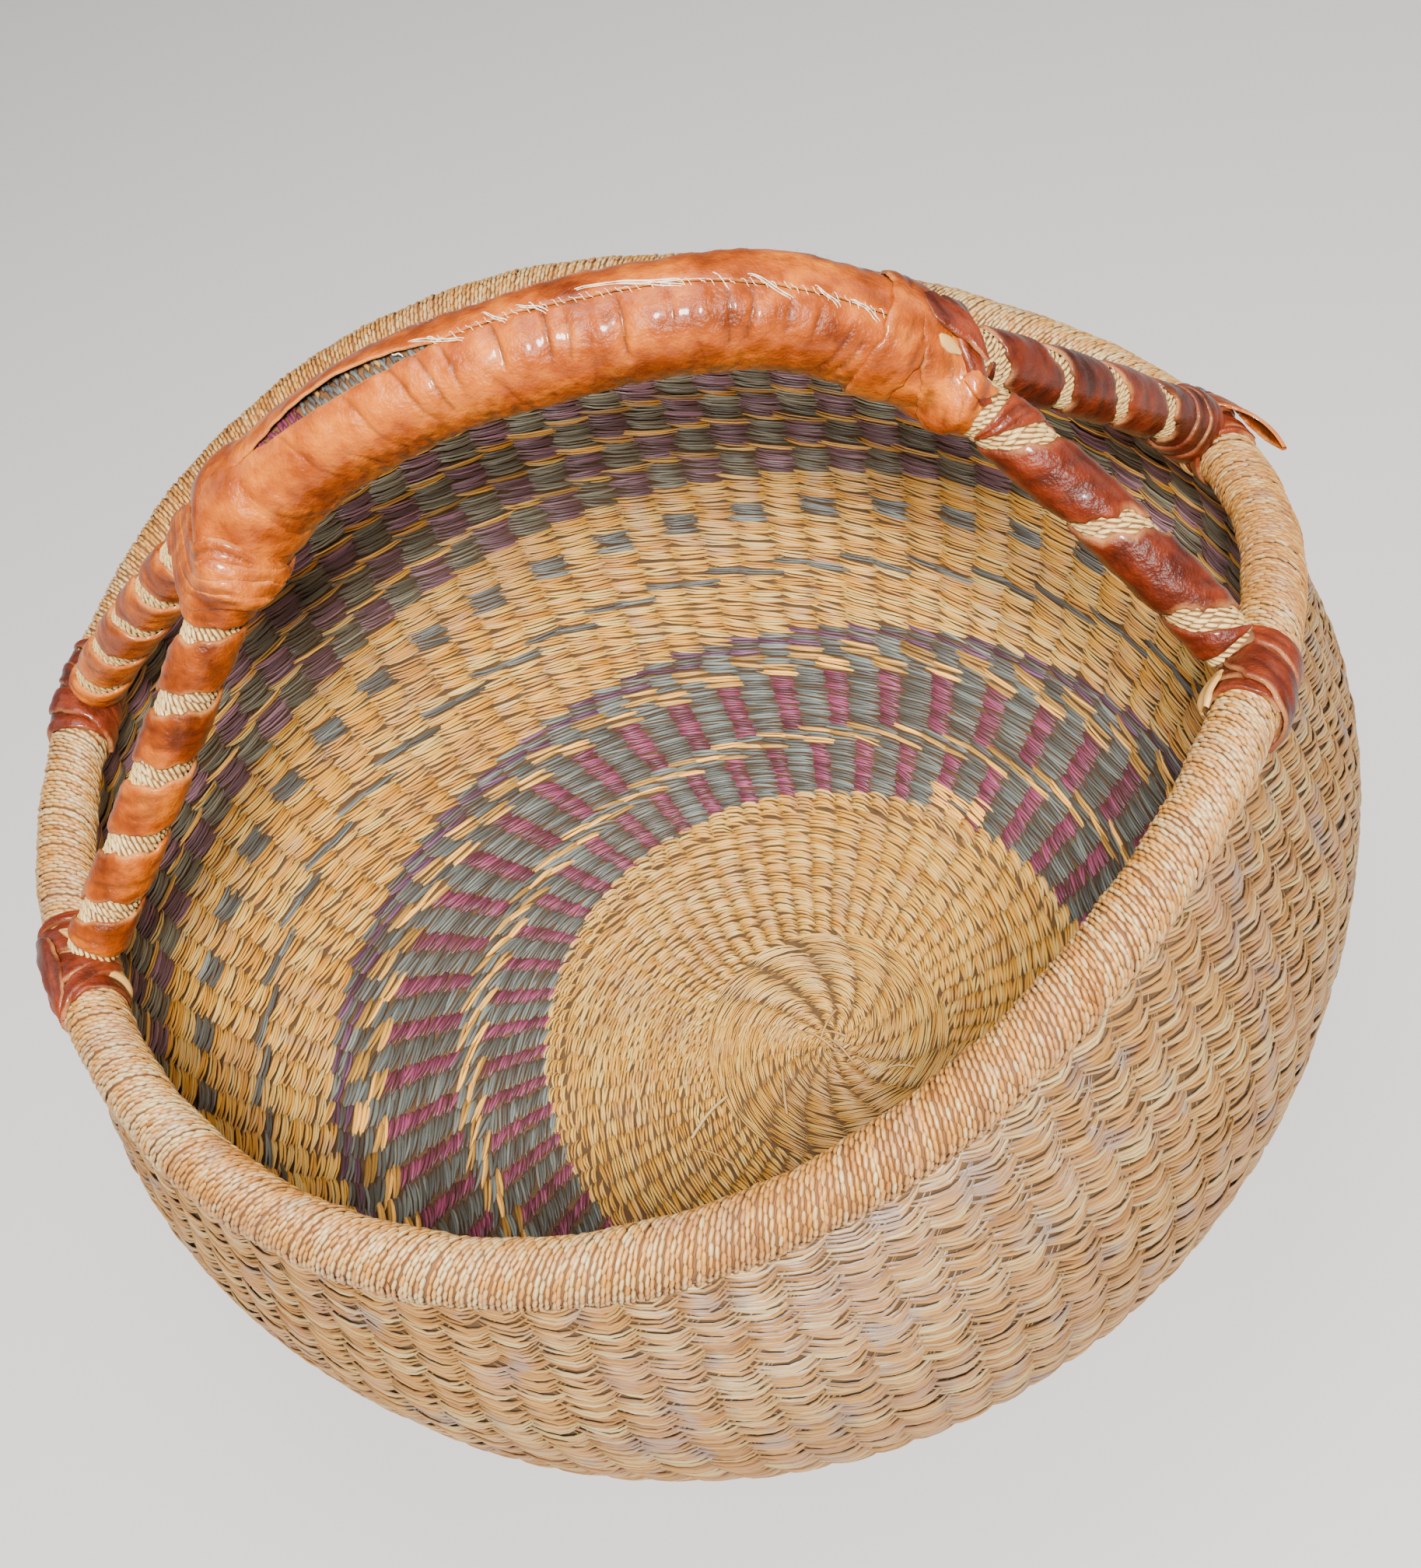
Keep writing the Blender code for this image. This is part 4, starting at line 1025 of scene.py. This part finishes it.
def leg_route(name):
    """A leg's centre line, from its top beside its twin to the middle of the rim roll."""
    foot_turn, pull, up, inward_share = LEGS[name][:4]
    left = name.startswith("left")
    centre, side, other, along = (row[0] for row in grip.at(np.array([0 if left else grip.length])))
    forward = -along if left else along
    back = unit(np.cross(UP, unit(grip.points[-1] - grip.points[0])))
    twin = -1 if name.endswith("front") else 1
    top = centre + FORK_GAP * forward + twin * LEG_SPACING / 2 * back
    foot = rim_line(math.radians(foot_turn))
    first = top + pull * LEG_TOP_PULL * forward
    inward = unit((centre - foot) * (1 - UP))
    second = (foot + LEG_FOOT_SHARE * (first - foot) + up * LEG_UPWARD_BOW * UP
              + inward_share * LEG_INWARD_BOW * inward)
    u = np.linspace(0, 1, 121)[:, None]
    return Route((1 - u) ** 3 * top + 3 * u * (1 - u) ** 2 * first + 3 * u ** 2 * (1 - u) * second
                 + u ** 3 * foot, back)


legs = {name: leg_route(name) for name in LEGS}


def strip_run(name):
    """First and last distance of a leg's leather strip, its pitch, and the last distance of the leg."""
    route, twin = legs[name], legs[name.replace("front", "BACK").replace("back", "front").replace("BACK", "back")]
    mouth = COLLAR_ON_LEGS[name.split("_")[0]]
    one, two = (leg.at(np.array([mouth]))[3][0] for leg in (route, twin))
    start = mouth + 0.0006 + 0.0092 * math.tan(math.acos(min(one @ unit(one + two), 1)))
    foot_turn = math.radians(LEGS[name][0])
    lean = abs(route.at(np.array([route.length]))[3][0] @ rim_frame(np.array([foot_turn]))[3][0])
    end = route.length - (0.0113 + 0.0092 * lean) / math.sqrt(1 - lean ** 2)
    return start, end, LEG_STRIP_PITCH * LEGS[name][6]


def leg_straw(name):
    """The twisted cord wound round a leg, made only where the leather strip leaves it bare."""
    random = np.random.default_rng(101)
    route = legs[name]
    start, end, pitch = strip_run(name)
    turns = int((end + 0.004) / LEG_CORD["pitch"])
    strokes = int(2 * math.pi * LEG_RADIUS / LEG_CORD["step"])
    number = np.repeat(np.arange(turns), strokes)
    angle = (np.tile(np.arange(strokes), turns) + np.repeat(random.uniform(0, 1, turns), strokes))
    angle = angle * 2 * math.pi / strokes
    distance = (number + angle / (2 * math.pi)) * LEG_CORD["pitch"]
    width = pitch - STRAW_BAND
    first = start - width / 2 + 0.0012
    phase = (distance - first) / pitch - LEGS[name][5] * (angle - math.radians(LEGS[name][4])) / (2 * math.pi)
    bare = np.abs((phase + 0.5) % 1 - 0.5) * pitch > width / 2 - 0.0022
    shown = bare | (distance < start + 0.003) | (distance > end - 0.002)
    tone = np.clip(0.80 + random.normal(0, 0.13, shown.sum()), 0, 1)
    piece = cord_strokes("leg_straw_" + name, on_route(route, LEG_RADIUS), distance[shown], angle[shown],
                         LEG_RADIUS, LEG_CORD, -1, leg_cream, tone, 102)
    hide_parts("leg_wrapping_" + name)
    bed = tube("leg_bed_" + name, on_route(route, LEG_RADIUS), np.linspace(0, end + 0.003, 60), 24, bed_shade,
               0.0008)
    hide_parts("leg_core_" + name)


# Its fourth colour is painted shade at the cord straws' ends and edges.
leg_cream = straw_finish("leg_cream", (1.0, 0.78, 0.32), (0.76, 0.46, 0.125), (0.42, 0.19, 0.038),
                         (0.16, 0.062, 0.02), 0.0, 0.10)
for name in LEGS:
    leg_straw(name)

# The strips: goatskin cut narrow, wound down each leg and round the rim roll under it, and bound
# over the fork. Their cut edges are pale, and being pulled tight folds them lengthwise.
STRIP_THICKNESS = 0.0012
STRIP_ACROSS = np.array([-1.0, -1.0, -0.94, -0.8, -0.6, -0.4, -0.2, 0.0, 0.2, 0.4, 0.6, 0.8, 0.94, 1.0, 1.0])
LASHING_LOOPS, LASHING_PITCH, LASHING_TURN_GAP = 3, 0.0114, 0.0009
ROLL_UNDER_LASHING = 0.0093


def smooth_line(table, count):
    """A smooth line through rows of distance, half width and lift in mm and angle in degrees."""
    table = np.array(table, float) * (0.001, math.pi / 180, 0.001, 0.001)
    slope = np.gradient(table, axis=0)
    at = np.linspace(0, len(table) - 1, count)
    low = np.clip(at.astype(int), 0, len(table) - 2)
    t = (at - low)[:, None]
    return ((2 * t ** 3 - 3 * t ** 2 + 1) * table[low] + (t ** 3 - 2 * t ** 2 + t) * slope[low]
            + (3 * t ** 2 - 2 * t ** 3) * table[low + 1] + (t ** 3 - t ** 2) * slope[low + 1])


def strips(name, lines, material, seed, folded=1.0):
    """Flat strips lying on surfaces: surface, girth, and rows of distance, angle, half width, lift."""
    random = np.random.default_rng(seed)
    all_points, all_faces, creases, edges = [], [], [], []
    begun = 0
    for surface, girth, rows in lines:
        distance, angle, half, lift = rows.T
        around = angle * girth
        way = unit(np.stack([np.gradient(distance), np.gradient(around)], 1))
        stage = np.concatenate([[0], np.cumsum(np.hypot(np.diff(distance), np.diff(around)))])
        v = STRIP_ACROSS[None, :]
        fray = np.stack([stage * 1000, 0 * stage], 1)
        ragged = [1 + 0.09 * ripple(fray, 9, int(seed_)) + 0.04 * ripple(fray, 2.6, int(seed_) + 1)
                  for seed_ in random.integers(0, 9999, 2)]
        off = half[:, None] * v * np.where(v < 0, ragged[0][:, None], ragged[1][:, None])
        far = distance[:, None] - way[:, 1:2] * off
        turned = angle[:, None] + way[:, 0:1] * off / girth
        places = np.stack([stage[:, None] * 1000 * 0.10 + 0 * off, off * 1000], -1)
        fold = ripple(places, 2.0, int(random.integers(0, 9999))) * 0.6
        fold = fold + ripple(places * (2.4, 1), 4.4, int(random.integers(0, 9999)))
        fold = fold * folded * (1 - np.abs(v) ** 5)
        body = STRIP_THICKNESS * (1 - 0.45 * np.abs(v) ** 9) + 0.00013 * fold
        outermost = np.array([True] + [False] * (v.size - 2) + [True])[None, :]
        rise = lift[:, None] + np.where(outermost, -0.0002, body)
        foot, out = surface(far, turned)
        all_points.append((foot + rise[..., None] * out).reshape(-1, 3))
        all_faces.append(grid_faces(1, *off.shape) + begun)
        begun += off.size
        # Painted shade in the hollows of the folds.
        creases.append((np.clip(-fold * 0.9 - 0.35, 0, 1) * 0.7 + 0 * off).ravel())
        worn = np.clip(0.28 + 0.42 * ripple(fray, 13, int(random.integers(0, 9999))), 0.05, 0.8)
        edges.append((np.clip((np.abs(v) - 0.9) / 0.06, 0, 1) * worn[:, None] + 0 * off).ravel())
    piece = piece_from(name, np.concatenate(all_points), np.concatenate(all_faces), material,
                       {"crease": np.concatenate(creases), "edge": np.concatenate(edges),
                        "under": np.zeros(begun)})
    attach(piece, "root")
    return piece


def wound_rows(start, end, pitch, width, first_angle, hand, girth):
    """Rows of a strip wound in a helix, narrowing to nothing at both ends."""
    square = 2 * math.pi * girth / math.hypot(2 * math.pi * girth, pitch)
    first = start - width / 2 + 0.0012
    last = end + width / 2 - 0.0012
    turned = np.linspace(0, (last - first) / pitch, int((last - first) / pitch * 44))
    middle = first + pitch * turned
    low = np.maximum(middle - width / 2, start)
    high = np.minimum(middle + width / 2, end)
    return np.stack([(low + high) / 2, first_angle + hand * 2 * math.pi * turned,
                     (high - low) / 2 * square, 0 * middle], 1)


for name in LEGS:
    start, end, pitch = strip_run(name)
    leather, slot = (tan_leather, "tan_leather") if name.startswith("left") else (dark_leather, "dark_leather")
    rows = wound_rows(start, end, pitch, pitch - STRAW_BAND, math.radians(LEGS[name][4]), LEGS[name][5],
                      LEG_RADIUS)
    leg_strip = strips("leg_strip_piece_" + name, [(on_route(legs[name], LEG_RADIUS + 0.0003), LEG_RADIUS, rows)],
                       leather, 111 + LEGS[name][4], 1.5)
    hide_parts("leg_strip_" + name)

# The crossings at each foot: further turns of the dark strip that cross over the leg's foot and
# the first loops. Distance along the rim in mm, angle round it, half width and lift.
CROSSINGS = {
    "left_front": (
        ((-4, 205, 3.0, 0.9), (-1, 180, 3.4, 1.2), (2, 150, 3.4, 1.3), (5, 110, 3.4, 1.4), (7, 70, 3.2, 1.3),
         (8, 30, 3.0, 1.0), (8, -10, 2.5, 0.5)),
        ((1, 210, 2.6, 0.6), (4, 180, 3.0, 0.9), (7, 150, 3.0, 0.9), (11, 105, 2.8, 0.8), (15, 65, 2.4, 0.8),
         (17, 35, 2.0, 0.4), (18, 10, 0.3, 0.0)),
        ((-13, -20, 2.0, 0.6), (-11, 30, 3.2, 1.2), (-4, 52, 3.4, 2.1), (5, 55, 3.2, 2.2), (13, 50, 2.4, 1.7),
         (19, 30, 0.3, 0.3)),
    ),
    "left_back": (
        ((-7, 20, 3.0, 0.6), (-4, 60, 3.4, 1.2), (0, 95, 3.6, 1.5), (4, 140, 3.6, 1.4), (6, 185, 3.2, 1.0),
         (7, 220, 2.4, 0.5)),
        ((3, 10, 3.6, 0.6), (6, 50, 4.2, 1.4), (8, 95, 4.4, 1.9), (11, 145, 4.4, 1.7), (14, 185, 3.8, 1.0),
         (16, 215, 2.6, 0.5)),
    ),
    "right_front": (
        ((-2, 130, 3.6, 1.2), (-6, 98, 5.4, 1.7), (-9, 62, 6.2, 1.9), (-12, 25, 5.6, 1.9), (-15, -8, 3.8, 1.6),
         (-18, -34, 1.8, 1.2), (-20, -48, 0.3, 1.0)),
        ((7, 150, 2.6, 0.4), (5, 110, 3.4, 1.0), (3, 60, 3.8, 1.2), (2, 15, 3.6, 0.9), (2, -20, 2.6, 0.4)),
    ),
    "right_back": (
        ((12, 20, 3.2, 0.5), (9, 60, 4.0, 1.3), (4, 100, 4.4, 1.8), (-2, 140, 4.2, 1.7), (-6, 175, 3.4, 1.1),
         (-8, 210, 2.4, 0.4)),
        ((4, 10, 3.4, 0.6), (1, 50, 4.4, 1.5), (-3, 85, 4.6, 2.2), (-8, 118, 3.6, 1.9), (-11, 150, 2.4, 1.0),
         (-12, 175, 0.4, 0.2)),
        ((16, 60, 2.4, 0.3), (14, 95, 3.0, 0.9), (9, 140, 3.2, 1.3), (4, 180, 3.0, 1.0), (1, 215, 2.2, 0.4)),
    ),
}
# The right back leg's lashing also goes up over the leg's end: from where its own strip ends.
HOOD = ((-9, 0, 2.0, 1.0), (-8, 90, 3.6, 1.3), (-6.5, 180, 4.4, 1.6), (-5, 270, 4.6, 1.9), (-3, 360, 4.8, 2.2),
        (-1, 450, 4.8, 2.5), (1, 540, 4.8, 2.7), (3, 630, 4.6, 2.6), (5, 720, 3.0, 1.6))
for name, crossings in CROSSINGS.items():
    on_roll = on_rim(math.radians(LEGS[name][0]), ROLL_UNDER_LASHING)
    half = LASHING_LOOPS * LASHING_PITCH / 2
    rows = wound_rows(-half, half - (0.010 if name == "right_front" else 0), LASHING_PITCH, LASHING_PITCH - LASHING_TURN_GAP, WALL_LEAN, 1, ROLL_RADIUS)
    lines = [(on_roll, ROLL_RADIUS, rows)]
    lines += [(on_roll, ROLL_RADIUS, smooth_line(crossing, 60)) for crossing in crossings]
    if name == "right_back":
        hood = np.array(HOOD) + (strip_run(name)[1] * 1000, 0, 0, 0)
        lines.append((on_route(legs[name], LEG_RADIUS), LEG_RADIUS, smooth_line(hood, 120)))
    lashing = strips("lashing_piece_" + name, lines, dark_leather, 131 + LEGS[name][4], 1.3)
    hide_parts("lashing_" + name)

# The fork bindings: the sleeve's end spreads over both legs, and more strips of the same skin are
# bound round the neck and crossed. Distance from the grip's end, angle round, half width, lift.
COLLAR_SHAPE = {"left": (-0.014, 0.0255), "right": (-0.0185, 0.0145)}
NECK_RADIUS = {"left": (0.0152, 0.0162, 0.0087), "right": (0.0151, 0.0147, 0.0080)}
BINDINGS = {
    "left": (
        ((26, -40, 2.0, 0.6), (22, -85, 2.6, 0.9), (11, -137, 2.8, 0.9), (7.5, -178, 2.8, 0.9),
         (7, -215, 2.6, 0.8), (9, -255, 2.2, 0.5)),
        ((28, -50, 2.0, 1.2), (24, -92, 2.5, 1.5), (15, -137, 2.6, 1.5), (10.5, -172, 2.6, 1.5),
         (9.5, -210, 2.4, 1.3), (10, -240, 0.4, 1.0)),
        ((30, -60, 1.8, 1.6), (26, -98, 2.4, 2.0), (19, -137, 2.6, 2.1), (14, -170, 2.6, 2.1),
         (12.5, -205, 2.2, 1.8), (13, -232, 0.4, 1.3)),
        ((20, -80, 1.8, 0.4), (8, -128, 2.0, 0.5), (3.8, -160, 2.0, 0.5), (3.4, -185, 1.8, 0.5),
         (4.5, -214, 1.4, 0.3), (6, -235, 0.3, 0.1)),
        ((29, -100, 3.0, 0.4), (24, -135, 4.0, 0.8), (20.5, -165, 4.4, 1.0), (19, -200, 4.2, 0.8),
         (19, -240, 3.4, 0.4)),
    ),
    "right": (
        ((-12, 10, 4.0, 0.1), (-12.5, 60, 5.0, 0.4), (-13, 98, 5.2, 0.6), (-13.5, 140, 5.8, 0.6),
         (-15, 190, 6.2, 0.5), (-13, 235, 5.2, 0.3), (-10, 280, 4.0, 0.1)),
        ((-9, 100, 2.5, 0.5), (-6, 128, 4.2, 0.7), (-1, 158, 5.2, 0.7), (4, 186, 5.2, 0.5), (8, 214, 4.4, 0.3),
         (10, 245, 3.0, 0.1)),
        ((13, 120, 1.6, 0.1), (9, 134, 3.2, 0.4), (8, 158, 3.8, 0.4), (10, 186, 3.8, 0.2), (12, 214, 3.0, 0.1)),
    ),
}


def on_fork(end, extra=0.0):
    """Reads the surface over a fork: round on the grip, then spreading over both legs."""
    front, back = legs[end + "_front"], legs[end + "_back"]
    reach = COLLAR_ON_LEGS[end]
    at_start, at_neck, at_legs = NECK_RADIUS[end]
    from_grip = COLLAR_SHAPE[end][0]

    def place(distance, angle):
        on_legs = np.clip(distance, 0, None)
        one, two = front.at(on_legs), back.at(on_legs)
        reach_back = np.where(distance < 0, -distance, 0)
        centre, side, other, along = grip.at(reach_back if end == "left" else grip.length - reach_back)
        along = -along if end == "left" else along
        legs_along = unit(one[3] + two[3])
        apart = two[0] - one[0]
        before = (distance < 0)[..., None]
        along = np.where(before, along, legs_along)
        centre = np.where(before, centre, (one[0] + two[0]) / 2)
        apart = apart - (apart * along).sum(-1, keepdims=True) * along
        share = distance / reach
        room = LEG_RADIUS * (1 / (one[3] * legs_along).sum(-1) - 1) + FORK_GAP
        spread = (np.linalg.norm(apart, axis=-1) / 2 + room) * smooth(1.7 * share) * (distance > 0)
        apart = unit(apart)
        radius = np.where(distance < 0, at_neck + (at_start - at_neck) * smooth(distance / from_grip),
                          at_neck + (at_legs - at_neck) * smooth(share)) + extra
        over = np.cross(along, apart)
        level, rise = np.cos(angle), np.sin(angle)
        foot = centre + (spread * np.tanh(3 * level) + radius * level)[..., None] * apart
        foot = foot + (radius * rise)[..., None] * over
        return foot, unit(level[..., None] * apart + rise[..., None] * over)

    return place


for end, (first, last) in COLLAR_SHAPE.items():
    stations = np.linspace(first, last, 70)
    columns = 110
    distance, angle = np.meshgrid(stations, np.linspace(0, 2 * math.pi, columns, endpoint=False), indexing="ij")
    foot, way = on_fork(end)(distance, angle)
    places = foot * 1000
    fold = ripple(np.stack([distance * 1000 * 1.0, np.sin(angle) * 5, np.cos(angle) * 5], -1), 6.0, 9)
    rise = 0.00022 * fold + 0.0003 * ripple(places, 21, 4)
    ends = smooth((distance - first) / 0.008) * smooth((last - distance) / 0.0012)
    points = foot + ((rise + 0.0004) * ends - 0.0012 * (1 - ends))[..., None] * way
    # The crease mask paints shade into the hollows of the folds.
    neck = piece_from("neck_" + end, points.reshape(-1, 3), grid_faces(1, len(stations), columns, True),
                      tan_leather, {"crease": np.clip(-fold * 0.5 - 0.3, 0, 0.6), "edge": 0 * fold,
                                    "under": window(np.degrees(angle), *((55, 125) if end == "left" else (235, 305)), 40)})
    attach(neck, "root")
    lines = [(on_fork(end), 0.0145, smooth_line(binding, 80)) for binding in BINDINGS[end]]
    binding = strips("binding_" + end, lines, tan_leather, 151 + len(end), 1.2)
    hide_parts("collar_" + end)

# At the right fork the last turn is the dark skin. Its end stands up as a stiff flap over a torn
# place where the straw shows.
fork_right = on_fork("right")
FLAP = ((-9, 84, 2.8, 0.9), (-6, 98, 3.8, 1.5), (-2, 107, 3.6, 2.5), (2, 111, 2.6, 3.4), (5, 112, 1.5, 3.8),
        (8, 111, 0.3, 3.6))
DARK_TURN = ((0, 62, 3.0, 0.5), (2, 92, 4.2, 1.0), (4, 112, 4.6, 1.2), (8, 128, 4.0, 1.0), (14, 140, 2.4, 0.5))
TORN_STRAW = ((-6, 126, 0.4, 1.0), (-4, 129, 1.5, 1.3), (-1.5, 131, 1.5, 1.3), (1, 133, 0.4, 1.0))
RAW_SKIN = ((4, 146, 0.4, 1.2), (7, 138, 2.6, 1.7), (11, 128, 2.8, 1.6), (16, 116, 0.5, 1.0))
strips("flap_right", [(fork_right, 0.0145, smooth_line(FLAP, 40)), (fork_right, 0.0145, smooth_line(DARK_TURN, 50))],
       dark_leather, 191, 0.8)
strips("raw_skin_right", [(fork_right, 0.0145, smooth_line(RAW_SKIN, 30))], tan_leather, 192, 0.6)
strips("torn_straw_right", [(fork_right, 0.0145, smooth_line(TORN_STRAW, 24))], leg_cream, 193,
       1.6)

# Loose ends: straws left standing on the floor, straw tucked in beside the legs' feet, and the
# pointed tail of a strip. Each is as its maker left it.
FLOOR_STRAWS = (((-40, -30.7), (-26, -15.3), 1.5, 0.95), ((-37.5, -35.9), (-24.6, -44.4), 0.8, 0.8),
                ((-4.7, -7.7), (-4.3, -26.4), 1.2, 0.85), ((31.8, -14), (44.2, -14.4), 1.0, 0.9),
                ((22.7, -6.4), (27.9, -12.3), 0.9, 0.7), ((13.9, 2.9), (22, -9), 1.0, 0.8),
                ((9.2, 6.1), (20, 3), 1.1, 0.6), ((17.4, 15.1), (10, 2), 1.0, 0.7), ((5, 8), (16, -3), 1.0, 0.75))


def floor_straws():
    """The straws that lie loose on the bottom."""
    t = np.linspace(0, 1, 12)[None, :]
    ends = np.array([(*one, *two) for one, two, width, tone in FLOOR_STRAWS]) / 1000
    x = ends[:, 0:1] + (ends[:, 2:3] - ends[:, 0:1]) * t
    y = ends[:, 1:2] + (ends[:, 3:4] - ends[:, 1:2]) * t + 0.0006 * np.sin(t * 3.1)
    middle = np.stack([x + SHIFT[0], y + SHIFT[1], WALL + 0.0012 + 0.0016 * np.sin(t * math.pi) + 0 * x], -1)
    up = np.broadcast_to(UP, middle.shape)
    width = np.array([row[2] for row in FLOOR_STRAWS])[:, None] / 1000 * np.ones((1, 12))
    straw_lines("floor_straws", middle, up, width, np.array([row[3] for row in FLOOR_STRAWS]),
                wrapping_straw, 162)


floor_straws()
TUCKS = {
    "left_front": (((9, 150, 2.2, 0.3), (10, 178, 2.6, 1.2), (11, 205, 2.4, 1.2), (12, 235, 1.6, 0.4)),
                   ((-9, 88, 0.4, 1.4), (-6.5, 104, 1.8, 1.7), (-4, 122, 1.7, 1.7), (-3, 142, 0.4, 1.4))),
    "right_front": (((-8, 150, 2.2, 0.8), (-13, 154, 2.8, 1.8), (-18, 156, 2.7, 1.9), (-22, 158, 1.5, 0.6)),),
    "right_back": (((-5, 165, 1.6, 0.6), (-7, 190, 1.9, 1.4), (-9, 215, 1.2, 0.8)),),
}
for name, tucks in TUCKS.items():
    on_roll = on_rim(math.radians(LEGS[name][0]), ROLL_UNDER_LASHING)
    strips("tuck_" + name, [(on_roll, ROLL_RADIUS, smooth_line(tuck, 24)) for tuck in tucks], leg_cream,
           171, 1.4)
tail = ((4, 80, 3.6, 1.8), (0, 52, 4.6, 2.6), (-5, 28, 4.2, 3.6), (-10, 12, 3.0, 5.2), (-15, 2, 1.6, 6.8),
        (-19, -4, 0.3, 7.8))
strips("tail_right_back", [(on_rim(math.radians(LEGS["right_back"][0]), ROLL_UNDER_LASHING), ROLL_RADIUS,
                            smooth_line(tail, 40))], tan_leather, 181, 0.8)
